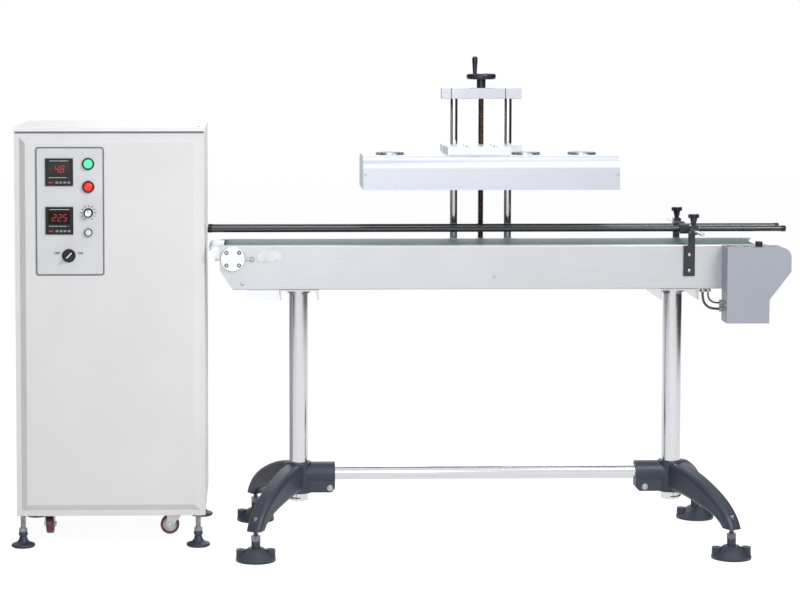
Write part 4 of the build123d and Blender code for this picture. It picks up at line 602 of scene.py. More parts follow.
def turned_roller_steel():
    """Steel tube turned in a lathe: fine rings round the roller and a broken glint."""
    colour = linear("#A8AAAE")
    return grained("turned_roller_steel", colour, darker(colour, 0.85), 1.2, 0.01, (0.3, 0.42), stretch=(1, 0.2, 1), metallic=1.0)


def drawn_copper():
    """Square copper tube, drawn and bent: warm, with darker oxide in patches."""
    return grained("drawn_copper", linear("#C27B52"), linear("#8E5638"), 1.5, 0.01, (0.22, 0.4), metallic=1.0, cloud=30.0)


def glass_board():
    """Epoxy glass board, pressed and sawn: yellowish white with threads just under the surface."""
    return grained("glass_board", linear("#DAD5C4"), linear("#C9C3AF"), 1.5, 0.02, (0.4, 0.55), stretch=(6, 1, 1), streak=0.6)


def motor_enamel():
    """Cast and ribbed motor housing under blue-grey enamel: thick paint, softly glossy."""
    return grained("motor_enamel", linear("#5C6470"), linear("#4C535E"), 3.0, 0.06, (0.3, 0.42), cloud=40.0)


def fan_and_guard():
    """A black PBT fan frame with its raised guard in chromed wire."""
    colour = linear("#1F2124")
    return grained(
        "fan_and_guard", colour, darker(colour, 0.8), 1.2, 0.01, (0.35, 0.5),
        second=(linear("#C9CDD2"), 1.0, 0.16), where=past((0, 0, 1), HEAD[1][2] + 0.4),
    )


def lamp_lens(upper, lower):
    """Polycarbonate lens over a lamp, moulded clear: saturated, glossy and lit a little from inside."""
    split = (LAMPS[0][2] + LAMPS[1][2]) / 2
    material = grained(
        "lamp_lens", lower, darker(lower, 0.92), 3.0, 0.002, (0.12, 0.18), cloud=10.0,
        second=(upper, 0.0, 0.14), where=past((0, 0, 1), split), Emission_Strength=0.25,
    )
    tree = material.node_tree
    surface = tree.nodes["Principled BSDF"]
    tree.links.new(surface.inputs["Base Color"].links[0].from_socket, surface.inputs["Emission Color"])
    return material


def lit_figure():
    """Light-emitting bars of a meter, seen through a red filter: they glow and have no grain of their own."""
    return grained(
        "lit_figure", linear("#7A0E14"), linear("#5E0A10"), 3.0, 0.0, (0.3, 0.4), cloud=6.0,
        Emission_Color=(*linear("#C4151B"), 1.0), Emission_Strength=0.55,
    )


def dark_glass():
    """Red filter glass over the meter's figures: almost black, with a mirror gloss."""
    return grained("dark_red_glass", linear("#120405"), linear("#0A0303"), 8.0, 0.0, (0.06, 0.1), cloud=20.0, Specular_IOR_Level=0.2)


def printed(name, code):
    """Screen-printed ink: flat, thin and slightly matt, with soft edges of tone."""
    colour = linear(code)
    return grained(name, colour, darker(colour, 0.85), 1.0, 0.004, (0.4, 0.55), cloud=8.0, Specular_IOR_Level=0.2)


def caster_rubber(name, centre):
    """A cast polyurethane tread, dark red, bonded on a pale nylon wheel."""
    return grained(
        name, linear("#C9CBCE"), linear("#B6B9BD"), 1.2, 0.02, (0.35, 0.5), cloud=12.0,
        second=(linear("#5A1626"), 0.0, 0.38),
        where=away(centre, reach_radius("caster_wheel_front_right") - CASTER_TREAD),
    )


def reach_radius(node):
    """Half the height of a round node that stands upright."""
    low, high = reach(node)
    return (high[2] - low[2]) / 2


# Small parts


def socket_screw(place, axis, radius, rise):
    """A button head with a hexagonal socket: its section runs up the side, over the crown and down."""
    profile = [
        (radius, -0.2, 0),
        (radius, rise * 0.45, 0),
        (radius * 0.86, rise * 0.85, 0),
        (radius * 0.66, rise, 0),
        (radius * 0.44, rise, 6),
        (radius * 0.44, rise * 0.3, 6),
    ]
    return turned(profile, place, axis, 24)


def washer(place, axis, radius, thick):
    """A thin round plate with an eased rim."""
    profile = [(radius, -0.2, 0), (radius, thick * 0.6, 0), (radius - 0.4 * thick, thick, 0)]
    return turned(profile, place, axis, 28)


def hex_bolt(place, axis, flats, rise):
    """A hexagon head with a turned crown: the polygon narrows to a circle at its top."""
    profile = [
        (flats / 2, -0.2, 6),
        (flats / 2, rise * 0.82, 6),
        (flats / 2 * 0.9, rise, 0),
    ]
    return turned(profile, place, axis, 24)


def figure_bar(centre, length, wide, level, axes):
    """One bar of a figure: a flat six-cornered outline, pointed at both ends."""
    half, side = length / 2, wide / 2
    if level:
        outline = [(half, 0), (half - side, side), (side - half, side), (-half, 0), (side - half, -side), (half - side, -side)]
    else:
        outline = [(side, half - side), (0, half), (-side, half - side), (-side, side - half), (0, -half), (side, side - half)]
    outline = np.array(outline, float)
    outline = outline + np.stack([outline[:, 1] * DIGIT_SLANT, np.zeros(6)], axis=1)
    return raised([outline, outline], (0.0, 0.3), centre, axes)


def figures(text, centre, height):
    """The bars of a number in a row, slanted, with a dot after a full stop."""
    wide = height * 0.52
    pitch = wide * 1.6
    count = len(text.replace(".", ""))
    shells, place = [], 0
    for sign in text:
        x = (place - (count - 1) / 2) * pitch
        if sign == ".":
            dot = np.array(centre) + np.array([x - pitch / 2, 0, -height / 2 + 0.6])
            shells.append(turned([(1.1, 0, 0), (1.1, 0.3, 0)], dot, (0, -1, 0), 12))
            continue
        for name in FIGURES[sign]:
            across, up, level = BARS[name]
            rise = up * height / 2
            spot = np.array(centre) + np.array([x + across * wide + rise * DIGIT_SLANT, 0, rise])
            length = wide * 0.92 if level else height / 2 * 0.92
            shells.append(figure_bar(spot, length, height * 0.11, level, FRONT))
        place += 1
    return shells


def lettering(name, words, height, centre, material, body):
    """A word as flat letters with a little thickness, standing in the front panel's plane."""
    text = bpy.data.curves.new(name, "FONT")
    text.body = words
    text.size = height
    text.extrude = 0.1 * MM
    text.offset = 0.25 * MM
    text.align_x = "CENTER"
    text.align_y = "CENTER"
    mesh = baked(text)
    mesh.transform(Matrix.Translation(np.array(centre) * MM) @ Matrix.Rotation(math.pi / 2, 4, "X"))
    return settle(name, mesh, material, body)


def thread(bottom, top, radius, depth, pitch, sides, centre):
    """A trapezoid thread as one surface over the angle round the screw and the height along it.

    The phase is height / pitch less the angle's share of a turn. Over one phase the radius is on the
    crest for 0.36, falls for 0.14, stays at the root for 0.36 and rises for 0.14.
    """
    rows = int((top - bottom) / pitch * 7)
    height = np.linspace(bottom, top, rows)[:, None]
    angle = np.linspace(0.0, 2 * np.pi, sides, endpoint=False)[None, :]
    phase = ((height - bottom) / pitch - angle / (2 * np.pi)) % 1.0
    fall = np.interp(phase, (0.0, 0.36, 0.5, 0.86, 1.0), (0.0, 0.0, 1.0, 1.0, 0.0))
    run_out = np.minimum(np.minimum(height - bottom, top - height) / pitch, 1.0)
    around = radius - depth * (fall * run_out + (1 - run_out))
    points = np.stack(
        [centre[0] + around * np.cos(angle), centre[1] + around * np.sin(angle), height + 0 * angle], axis=-1
    )
    return skin(points)


# Operators: one for each group of like pieces


class SEALER_OT_frame_finishes(bpy.types.Operator):
    """Give every carried-over node its finish"""

    bl_idname = "sealer.frame_finishes"
    bl_label = "Frame finishes"

    def execute(self, context):
        colours = context.scene.sealer_colours
        cabinet = powder_coated_steel("powder_coated_cabinet", colours.cabinet)
        plates = brushed_stainless("brushed_side_plates", colours.plate, (40, 1, 1))
        pale = brushed_stainless("brushed_guards", linear("#D9DBDF"), (1, 40, 1), 0.5)
        nylon = grained_nylon("grained_nylon", colours.bipod)
        aluminium = satin_anodised_aluminium("anodised_lift", "#CDD0D3")
        chrome = hard_chromed_steel("hard_chromed_columns")
        black = black_coated_steel("black_coated_rails", colours.rail)
        phenolic = moulded_phenolic("moulded_phenolic", "#262A36")
        zinc = zinc_plated_steel("zinc_plated_forks")
        fan = moulded_abs("moulded_fan", "#1F2124")
        finishes = {
            "cabinet_shell": cabinet,
            "front_panel": cabinet,
            # The lid gets its own lighter copy of the cabinet's powder coat: painted light on its top.
            "cabinet_lid": powder_coated_steel("lid_paint_lit_lighter", colours.lid),
            "panel_fittings": moulded_abs("moulded_meter_case", "#08090B"),
            "signal_lamps": lamp_lens(colours.green_lamp, colours.red_lamp),
            "power_knob": moulded_phenolic("moulded_knob", "#202227"),
            "reset_button": moulded_abs("moulded_button", "#DDDEE0"),
            "selector_switch": moulded_phenolic("moulded_selector", "#1D1F24"),
            "stand_feet": nylon,
            "bipod_bases": nylon,
            "foot_studs": zinc_plated_steel("zinc_plated_studs", 1.75),
            "power_module": satin_anodised_aluminium("mill_finish_module", "#B4B6BA"),
            "front_side_plate": plates,
            "rear_side_plate": plates,
            "slider_bed": brushed_stainless("brushed_bed", linear("#BFC1C4"), (40, 1, 1)),
            "belt_guards": pale,
            "conveyor_belt": pvc_belt(colours.belt),
            "drive_pulley": turned_roller_steel(),
            "tail_pulley": turned_roller_steel(),
            "return_roller": turned_roller_steel(),
            "pulley_bearings": satin_anodised_aluminium("anodised_covers", "#D2D4D8"),
            "drive_box": brushed_stainless("brushed_drive_box", colours.box, (1, 1, 40)),
            "gearmotor": motor_enamel(),
            "speed_knob": phenolic,
            "rocker_switch": moulded_abs("moulded_rocker", "#B3121B"),
            "cable_glands": zinc_plated_steel("nickel_plated_glands"),
            "legs": polished_stainless("polished_legs", colours.tube, (1, 1, 40)),
            "stretcher_tube": polished_stainless("polished_stretcher", colours.tube, (40, 1, 1)),
            "head_housing": satin_stainless_cover(colours.head),
            "head_base": glass_board(),
            "induction_coil": drawn_copper(),
            "fan_frames": fan_and_guard(),
            "fan_rotor_left": fan,
            "fan_rotor_middle": fan,
            "fan_rotor_right": fan,
            "lift_carriage": aluminium,
            "column_bracket": aluminium,
            "top_crossbar": satin_anodised_aluminium("anodised_crossbar", "#B4B6BE"),
            "guide_columns": chrome,
            "handwheel": phenolic,
            "wheel_handle": phenolic,
            "front_rail": black,
            "rear_rail": black,
            "front_rail_arm": rod_and_clamp("front_rod_and_clamp", -1),
            "rear_rail_arm": rod_and_clamp("rear_rod_and_clamp", 1),
            "rail_uprights": black,
            "front_star_knob": phenolic,
            "rear_star_knob": phenolic,
        }
        for place in CASTERS:
            wheel = "caster_wheel_" + place
            finishes["caster_fork_" + place] = zinc
            finishes[wheel] = caster_rubber("cast_tread_" + place, middle(wheel))
        for name, material in finishes.items():
            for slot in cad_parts[name].material_slots:
                slot.material = material
        return {"FINISHED"}


class SEALER_OT_control_pad(bpy.types.Operator):
    """Make the control pad: its foil and bead, the meters' faces, the dial's marks and two words"""

    bl_idname = "sealer.control_pad"
    bl_label = "Control pad"

    def execute(self, context):
        colours = context.scene.sealer_colours
        sizes = context.scene.sealer_sizes
        foil = satin_foil(colours.pad)
        black = printed("black_ink", "#0B0C0E")
        white = printed("white_ink", "#E8E8EA")
        piece("pad_foil", [slab(*PAD_SIZE, PAD_RADIUS, 0.25, PAD_CENTRE, FRONT, 0.1)], foil, "machine")
        line = bead(*PAD_SIZE, PAD_RADIUS, 4.0, 1.3, PAD_CENTRE, FRONT)
        # A dark grey strip along the cabinet's front just under the lid: painted shadow of the lid's overhang, made as
        # a soft seal.
        shadow_strip_centre = (middle("cabinet_shell")[0], CABINET[0][1], LID[0][2] - 3.0)
        strip = slab(CABINET[1][0] - CABINET[0][0] - 4.0, 5.0, 1.0, 0.8, shadow_strip_centre, FRONT, 0.3)
        piece("lid_shadow_strip", [strip], moulded_abs("dark_grey_lid_shadow", "#6A6E75"), "machine")
        piece("pad_bead", [line], moulded_abs("moulded_bead", "#6E727A"), "machine")
        self.meters(sizes.figure_height / MM, white)
        self.dial_marks(black)
        words = SELECTOR[2] + 6.0
        front = PAD_FACE - 0.3
        height = sizes.letter_height
        lettering("word_off", "OFF", height, (SELECTOR[0] - 31.0, front, words), black, "machine")
        lettering("word_on", "ON", height, (SELECTOR[0] + 30.0, front, words), black, "machine")
        return {"FINISHED"}

    def meters(self, height, white):
        """Filter glass, figures, two printed lines, a lit dot and four keys on each meter."""
        glass, lines, lit, keys = [], [], [], []
        for z, text in zip(METER_Z, METER_TEXTS):
            window = (METER_X, WINDOW_FLOOR, z + WINDOW_RISE)
            glass.append(slab(WINDOW_SIZE[0] - 0.4, WINDOW_SIZE[1] - 0.4, 1.0, 0.8, window, FRONT, 0.1))
            lit += figures(text, (METER_X + 1.0, WINDOW_FLOOR - 0.8, window[2]), height)
            for rise, wide, shift in ((29.5, 50.0, 0.0), (-14.0, 46.0, -4.0)):
                lines.append(slab(wide, 1.0, 0.3, 0.3, (METER_X + shift, METER_FACE, z + rise), FRONT, 0.1))
            lit.append(turned([(1.6, -0.1, 0), (1.6, 0.4, 0)], (METER_X + 24.0, METER_FACE, z - 14.0), (0, -1, 0), 16))
            lit.append(slab(12.0, 3.0, 0.5, 0.3, (METER_X - 22.0, METER_FACE, z - 27.0), FRONT, 0.1))
            for column in range(4):
                spot = (METER_X - 6.0 + 10.5 * column, METER_FACE, z - 27.0)
                keys.append(slab(7.5, 5.0, 1.2, 0.9, spot, FRONT, 0.3))
        piece("meter_windows", glass, dark_glass(), "machine")
        piece("meter_figures", lit, lit_figure(), "machine")
        piece("meter_lines", lines, white, "machine")
        piece("meter_keys", keys, moulded_abs("moulded_keys", "#8A8D92"), "machine")

    def dial_marks(self, black):
        """Ticks round the power dial, every second one longer, evenly spread over its sweep."""
        ticks = []
        for step in range(TICK_COUNT):
            angle = math.radians(90.0 + TICK_SWEEP / 2 - TICK_SWEEP * step / (TICK_COUNT - 1))
            out = np.array([math.cos(angle), math.sin(angle)])
            length = 4.0 if step % 2 else 5.5
            axes = np.array([(out[0], 0, out[1]), (-out[1], 0, out[0]), (0, -1, 0)])
            reach_out = 15.5 + length / 2
            spot = (DIAL[0] + out[0] * reach_out, PAD_FACE - 0.1, DIAL[2] + out[1] * reach_out)
            ticks.append(slab(length, 2.0, 0.4, 0.3, spot, axes, 0.1))
        piece("dial_ticks", ticks, black, "machine")


class SEALER_OT_knobs_and_rings(bpy.types.Operator):
    """Make the lamp rings, the caps and marks of the knobs, and the switch's pointer"""

    bl_idname = "sealer.knobs_and_rings"
    bl_label = "Knobs and rings"

    def execute(self, context):
        bright = satin_anodised_aluminium("spun_caps", "#E2E3E6")
        black = moulded_phenolic("moulded_flutes", "#17181C")
        white = moulded_abs("moulded_marks", "#E6E6E6")
        self.lamp_rings(black)
        self.power_dial(bright, black)
        self.selector(white, black)
        self.speed_dial(black, white)
        return {"FINISHED"}

    def lamp_rings(self, black):
        """Moulded black rings round the lenses: a half-round section closed on itself."""
        rings = []
        x = (LAMPS[0][0] + LAMPS[1][0]) / 2
        for z in (LAMPS[0][2] + 11.9, LAMPS[1][2] - 11.9):
            turn = np.linspace(0.0, 2 * np.pi, 12, endpoint=False)
            section = [(13.9 - 1.7 * math.cos(part), 0.9 * math.sin(part), 0) for part in turn]
            ring = turned(section[::-1], (x, PAD_FACE - 5.2, z), (0, -1, 0), 40)
            rows = ring[0].reshape(len(section), -1, 3)
            rings.append(skin(rows, True))
        piece("lamp_rings", rings, black, "machine")

    def power_dial(self, bright, black):
        """A spun silver cap and a fluted skirt on the power knob."""
        low, high = reach("power_knob")
        centre = (DIAL[0], low[1], DIAL[2])
        cap = turned([(8.4, -0.5, 0), (8.4, 0.3, 0), (7.6, 0.7, 0), (7.0, 0.5, 0)], centre, (0, -1, 0), 36)
        piece("power_cap", [cap], bright, "power_knob")
        skirt = (DIAL[0], low[1] + 3.5, DIAL[2])
        flutes = turned([(10.7, -7.0, 0), (10.7, 1.6, 0), (9.9, 2.4, 0)], skirt, (0, -1, 0), 96, 16, 0.045)
        pointer = slab(1.6, 7.0, 0.5, 0.5, (DIAL[0], low[1] - 0.5, DIAL[2] + 4.0), FRONT, 0.1)
        piece("power_flutes", [flutes, pointer], black, "power_knob")

    def selector(self, white, black):
        """The selector's white pointer along its grip and a fluted ring round its hub."""
        low, high = reach("selector_switch")
        angle = math.radians(90.0 - SELECTOR_REST_DEG)
        along = np.array([math.cos(angle), 0, math.sin(angle)])
        axes = np.array([along, np.cross(along, (0.0, 1.0, 0.0)), (0, -1, 0)])
        spot = np.array([SELECTOR[0], low[1], SELECTOR[2]]) + along * 2.0
        line = slab(19.0, 3.2, 0.8, 0.4, spot, axes, 0.1)
        piece("selector_pointer", [line], white, "selector_switch")
        ring = turned([(13.3, -2.9, 0), (13.3, -0.4, 0), (12.7, 0.1, 0)],
                      (SELECTOR[0], PAD_FACE - 8.3, SELECTOR[2]), (0, -1, 0), 120, 20, 0.02)
        piece("selector_flutes", [ring], black, "selector_switch")

    def speed_dial(self, black, white):
        """Flutes round the speed knob, a white mark on its top and two small marks beside the rocker."""
        x, y = middle("speed_knob")[:2]
        base = BOX[1][2]
        flutes = turned([(9.3, 1.5, 0), (9.3, 11.0, 0), (8.6, 12.0, 0)], (x, y, base), (0, 0, 1), 96, 16, 0.04)
        piece("speed_flutes", [flutes], black, "speed_knob")
        mark = slab(6.0, 1.2, 0.4, 0.3, (x + 4.0, y, SPEED[1][2]), UP, 0.1)
        piece("speed_mark", [mark], white, "speed_knob")
        dots = [washer((x - shift, y, base - 1.0), (0, 0, 1), 1.6, 1.5) for shift in (38.0, 30.0)]
        piece("box_dots", dots, black, "machine")


class SEALER_OT_fasteners(bpy.types.Operator):
    """Make the screws, bolts and washers that show"""

    bl_idname = "sealer.fasteners"
    bl_label = "Fasteners"

    def execute(self, context):
        zinc = zinc_plated_steel("zinc_plated_screws")
        dark = oiled_black_steel()
        self.bearing_screws(zinc, dark)
        self.plate_screws(zinc)
        self.stand_bolts(zinc)
        self.head_screws(zinc)
        self.caster_nuts(zinc)
        lid = (CABINET[1][0] - 16.0, CABINET[0][1] + 16.0, LID[1][2] - 0.3)
        piece("lid_screw", [socket_screw(lid, (0, 0, 1), 4.0, 1.2)], dark, "machine")
        return {"FINISHED"}

    def bearing_screws(self, zinc, dark):
        """Four socket screws on each bearing cover, each on a dark disc that is painted shade for its counterbore, and
        the tail's take-up bolts.
        """
        heads, counterbore_shades = [], []
        half = COVER_SCREW_SPACING / 2
        covers = (
            (TAIL[0], COVER_FRONT, (0, -1, 0)),
            (TAIL[0], COVER_REAR, (0, 1, 0)),
            (DRIVE[0], COVER_REAR, (0, 1, 0)),
        )
        for x, y, axis in covers:
            for across in (-half, half):
                for up in (-half, half):
                    spot = (x + across, y, TAIL[2] + up)
                    # A dark disc under each head: painted shade in place of the counterbore's hollow.
                    counterbore_shades.append(washer(spot, axis, COVER_SCREW_RADIUS + 1.2, 0.3))
                    heads.append(socket_screw(spot, axis, COVER_SCREW_RADIUS - 1.0, 1.6))
        for side, face in ((-1, PLATE_FRONT), (1, PLATE_REAR)):
            y = face + side * 5.5
            z = TAIL[2] - 1.0
            shank = [(TAKE_UP_RADIUS, 30.5, 0), (TAKE_UP_RADIUS, 46.0, 0), (6.2, 48.0, 0), (6.2, 50.0, 0),
                     (5.0, 50.4, 6), (5.0, 55.0, 6), (4.4, 56.0, 0)]
            heads.append(turned(shank, (TAIL[0], y, z), (1, 0, 0), 24))
            stub = [(TAKE_UP_RADIUS, 30.5, 0), (TAKE_UP_RADIUS, 40.0, 0), (4.2, 41.0, 0), (4.2, 45.0, 0), (3.4, 46.0, 0)]
            heads.append(turned(stub, (TAIL[0], y, z), (-1, 0, 0), 24))
        piece("bearing_screws", heads, zinc, "machine")
        piece("counterbore_shade_discs", counterbore_shades, dark, "machine")

    def plate_screws(self, zinc):
        """Screws in the side plates and uprights, and the oblong cover over the take-up slot."""
        heads = []
        along, z = PLATE_SCREW
        for x, y, axis in (
            (TAIL[0] + along, PLATE_FRONT, (0, -1, 0)),
            (TAIL[0] + along, PLATE_REAR, (0, 1, 0)),
            (DRIVE[0] - along, PLATE_REAR, (0, 1, 0)),
        ):
            heads.append(socket_screw((x, y, z), axis, 5.0, 2.4))
        x = UPRIGHTS[0][0] + UPRIGHT_SCREW_IN
        for z in UPRIGHT_SCREW_Z:
            heads.append(socket_screw((x, PLATE_FRONT - 4.0, z), (0, -1, 0), 4.6, 2.4))
            heads.append(socket_screw((x, PLATE_REAR + 4.0, z), (0, 1, 0), 4.6, 2.4))
        wide, high = OBLONG_X[1] - OBLONG_X[0], OBLONG_Z[1] - OBLONG_Z[0]
        centre = (TAIL[0] + sum(OBLONG_X) / 2, PLATE_FRONT, sum(OBLONG_Z) / 2)
        cover = slab(wide, high, high / 2 - 0.5, 2.0, centre, FRONT, 0.8)
        piece("slot_cover", [cover], moulded_abs("moulded_slot_cover", "#DADCE0"), "machine")
        for shift in (86.0, 115.0):
            spot = (TAIL[0] + shift, PLATE_FRONT - 2.0, OBLONG_Z[0] + 5.0)
            heads.append(socket_screw(spot, (0, -1, 0), 2.6, 1.2))
        piece("plate_screws", heads, zinc, "machine")

    def stand_bolts(self, zinc):
        """Bolts through the bipods' sleeves and hubs, front and back, and the rings at the legs' ends."""
        heads, rings = [], []
        legs = (LEGS[0][0] + (LEGS[1][2] * 0), LEGS[1][0])
        low, high = reach("bipod_bases")
        columns = (low[0] + 115.0 + 20.5, high[0] - 115.0 - 20.5)
        for x, shift in zip(columns, SLEEVE_SCREWS):
            for side in (-1, 1):
                spot = (x + shift, TAIL[1] + side * SLEEVE_FACE, SLEEVE_SCREW_Z)
                heads.append(washer(spot, (0, side, 0), 8.5, 1.6))
                heads.append(socket_screw((spot[0], spot[1] + side * 1.4, spot[2]), (0, side, 0), 6.2, 4.0))
            lean = math.radians(21.0) * (1 if shift < 0 else -1)
            out = np.array([math.sin(lean), -math.cos(lean), 0.0])
            for z in HUB_SCREW_Z:
                spot = np.array([x, TAIL[1], z]) + out * HUB_RADIUS
                heads.append(washer(spot, out, 7.6, 1.2))
                heads.append(socket_screw(spot + out, out, 5.6, 3.6))
            rings.append(turned([(LEG_RADIUS - 1.0, -0.4, 0), (LEG_RADIUS + 0.6, 0.0, 0), (LEG_RADIUS + 0.6, 2.6, 0),
                                 (LEG_RADIUS - 1.0, 3.0, 0)], (x, TAIL[1], LEGS[0][2] + 6.0), (0, 0, 1), 48))
        piece("stand_bolts", heads, zinc, "machine")
        piece("leg_end_rings", rings, oiled_black_steel(), "machine")

    def head_screws(self, zinc):
        """Small screws at the head's ends and four on the carriage plate, all riding with the head."""
        heads = []
        for y, side in ((HEAD[0][1], -1), (HEAD[1][1], 1)):
            heads.append(socket_screw((HEAD[0][0] + 6.0, y, 985.0), (0, side, 0), 3.0, 1.6))
            heads.append(socket_screw((HEAD[1][0] - 6.0, y, 985.0), (0, side, 0), 3.0, 1.6))
        centre = middle("lift_carriage")
        for x in (-52.0, 22.0):
            for y in (CARRIAGE[0][1] + 18.0, CARRIAGE[0][1] + 96.0):
                spot = (centre[0] + x, y, CARRIAGE[1][2])
                heads.append(socket_screw(spot, (0, 0, 1), 5.0, 3.0))
        piece("head_screws", heads, zinc, "sealing_head")

    def caster_nuts(self, zinc):
        """A hexagon on each end of every caster's axle."""
        for place, angle in CASTERS.items():
            centre = middle("caster_wheel_" + place)
            turn = math.radians(angle)
            axle = np.array([-math.sin(turn), math.cos(turn), 0.0])
            nuts = []
            for side in (-1, 1):
                nuts.append(hex_bolt(centre + side * axle * 13.0, side * axle, 11.0, 3.4))
            piece("axle_nuts_" + place, nuts, zinc, "caster_fork_" + place)


class SEALER_OT_conveyor_trim(bpy.types.Operator):
    """Make the rails' end caps, the glands' nuts and the handwheel's cap"""

    bl_idname = "sealer.conveyor_trim"
    bl_label = "Conveyor trim"

    def execute(self, context):
        black = moulded_abs("moulded_end_caps", "#1A1C20")
        zinc = zinc_plated_steel("nickel_plated_nuts")
        for name, body in (("front_rail", "front_rail"), ("rear_rail", "rear_rail")):
            low, high = reach(name)
            y, z = (low[1] + high[1]) / 2, (low[2] + high[2]) / 2
            cap = [(8.1, 0.0, 0), (8.1, 11.0, 0), (7.4, 12.0, 0)]
            caps = [
                turned(cap, (high[0] - 12.0, y, z), (1, 0, 0), 32),
                turned(cap, (low[0] + 12.0, y, z), (-1, 0, 0), 32),
            ]
            piece(name + "_caps", caps, black, body)
        nuts = []
        for route in (MOTOR_ROUTE, SIGNAL_ROUTE):
            start = np.array(route[0]) / MM + (TAIL[0], TAIL[1], 0)
            end = np.array(route[-1]) / MM + (TAIL[0], TAIL[1], 0)
            nuts.append(hex_bolt(start + (0, 0, 1.5), (0, 0, 1), 15.0, 4.0))
            nuts.append(hex_bolt(end + (1.5, 0, 0), (1, 0, 0), 15.0, 4.0))
        piece("gland_nuts", nuts, zinc, "machine")
        x, y = middle("lead_screw")[:2]
        top = WHEEL[0][2] + 23.0 + 16.0 - 2.0
        cap = turned([(9.0, -0.5, 0), (9.0, 1.2, 0), (7.6, 2.0, 0), (3.0, 2.4, 0)], (x, y, top), (0, 0, 1), 32)
        piece("wheel_cap", [cap], zinc, "lift_screw")
        return {"FINISHED"}


class SEALER_OT_cabinet_feet(bpy.types.Operator):
    """Make the cabinet's four moulded feet with a rolled rim and a grooved hub"""

    bl_idname = "sealer.cabinet_feet"
    bl_label = "Cabinet feet"

    def execute(self, context):
        low, high = reach("cabinet_feet")
        radius = FOOT_RADIUS
        rim = np.linspace(0.0, np.pi, 9)
        profile = [(radius - 3.0, low[2], 0)]
        profile += [(radius - 4.5 + 4.5 * math.sin(turn), low[2] + 4.5 - 4.5 * math.cos(turn), 0) for turn in rim]
        bell = np.linspace(0.0, 1.0, 9)
        profile += [(radius - 5.5 - 15.5 * math.sin(part * math.pi / 2), low[2] + 9.5 + 16.0 * part ** 1.5, 0) for part in bell]
        profile += [(9.0, 27.0, 0), (9.0, 29.0, 0), (11.8, 30.5, 0), (11.8, 37.0, 0), (10.6, high[2], 0)]
        places = [(x, y) for x in (low[0] + radius, high[0] - radius) for y in (low[1] + radius, high[1] - radius)]
        feet = [turned(profile, (x, y, 0.0), (0, 0, 1), 40) for x, y in places]
        nylon = grained_nylon("grained_nylon_feet", context.scene.sealer_colours.bipod)
        made = piece("moulded_cabinet_feet", feet, nylon, "machine", 50.0)
        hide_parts("cabinet_feet")
        return {"FINISHED"}


class SEALER_OT_lift_screw(bpy.types.Operator):
    """Make the lead screw with its trapezoid thread and both journals"""

    bl_idname = "sealer.lift_screw"
    bl_label = "Lift screw"

    def execute(self, context):
        sizes = context.scene.sealer_sizes
        x, y = middle("lead_screw")[:2]
        low, high = reach("column_bracket")[1][2] + 0.3, reach("top_crossbar")[0][2] - 0.3
        turns = thread(
            low, high, SCREW_RADIUS, sizes.thread_depth / MM, sizes.thread_pitch / MM, sizes.thread_sides, (x, y)
        )
        journals = [
            turned([(JOURNAL_RADIUS, 0, 0), (JOURNAL_RADIUS, low + 1 - SCREW[0][2], 0)], (x, y, SCREW[0][2]), (0, 0, 1)),
            turned([(JOURNAL_RADIUS, 0, 0), (JOURNAL_RADIUS, SCREW[1][2] - high + 1, 0)], (x, y, high - 1), (0, 0, 1)),
        ]
        screw = piece("threaded_lift_screw", [turns, *journals], oiled_black_steel(), "lift_screw")
        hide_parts("lead_screw")
        return {"FINISHED"}


class SEALER_OT_leads(bpy.types.Operator):
    """Make the two leads in ribbed conduit between the side plate and the drive box"""

    bl_idname = "sealer.leads"
    bl_label = "Leads"

    def execute(self, context):
        conduit = moulded_abs("ribbed_conduit", "#4A4E54")
        self.lead("motor_conduit", MOTOR_ROUTE, MOTOR_RADIUS, conduit, "motor_lead")
        self.lead("signal_conduit", SIGNAL_ROUTE, SIGNAL_RADIUS, conduit, "signal_lead")
        return {"FINISHED"}

    def lead(self, name, route, radius, material, node):
        """Rings along the smooth line, whose radius rises and falls once in each rib's pitch."""
        line = line_along(np.array(route) + (TAIL[0] * MM, TAIL[1] * MM, 0.0))
        run = np.concatenate([[0.0], np.cumsum(np.linalg.norm(np.diff(line, axis=0), axis=1))])
        even = np.linspace(0.0, run[-1], int(run[-1] / CONDUIT_PITCH * 6))
        points = np.stack([np.interp(even, run, line[:, part]) for part in range(3)], axis=1)
        radii = radius * (0.94 + 0.09 * np.cos(2 * np.pi * even / CONDUIT_PITCH))
        made = piece(name, [swept(points, radii)], material, "machine", 60.0)
        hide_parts(node)


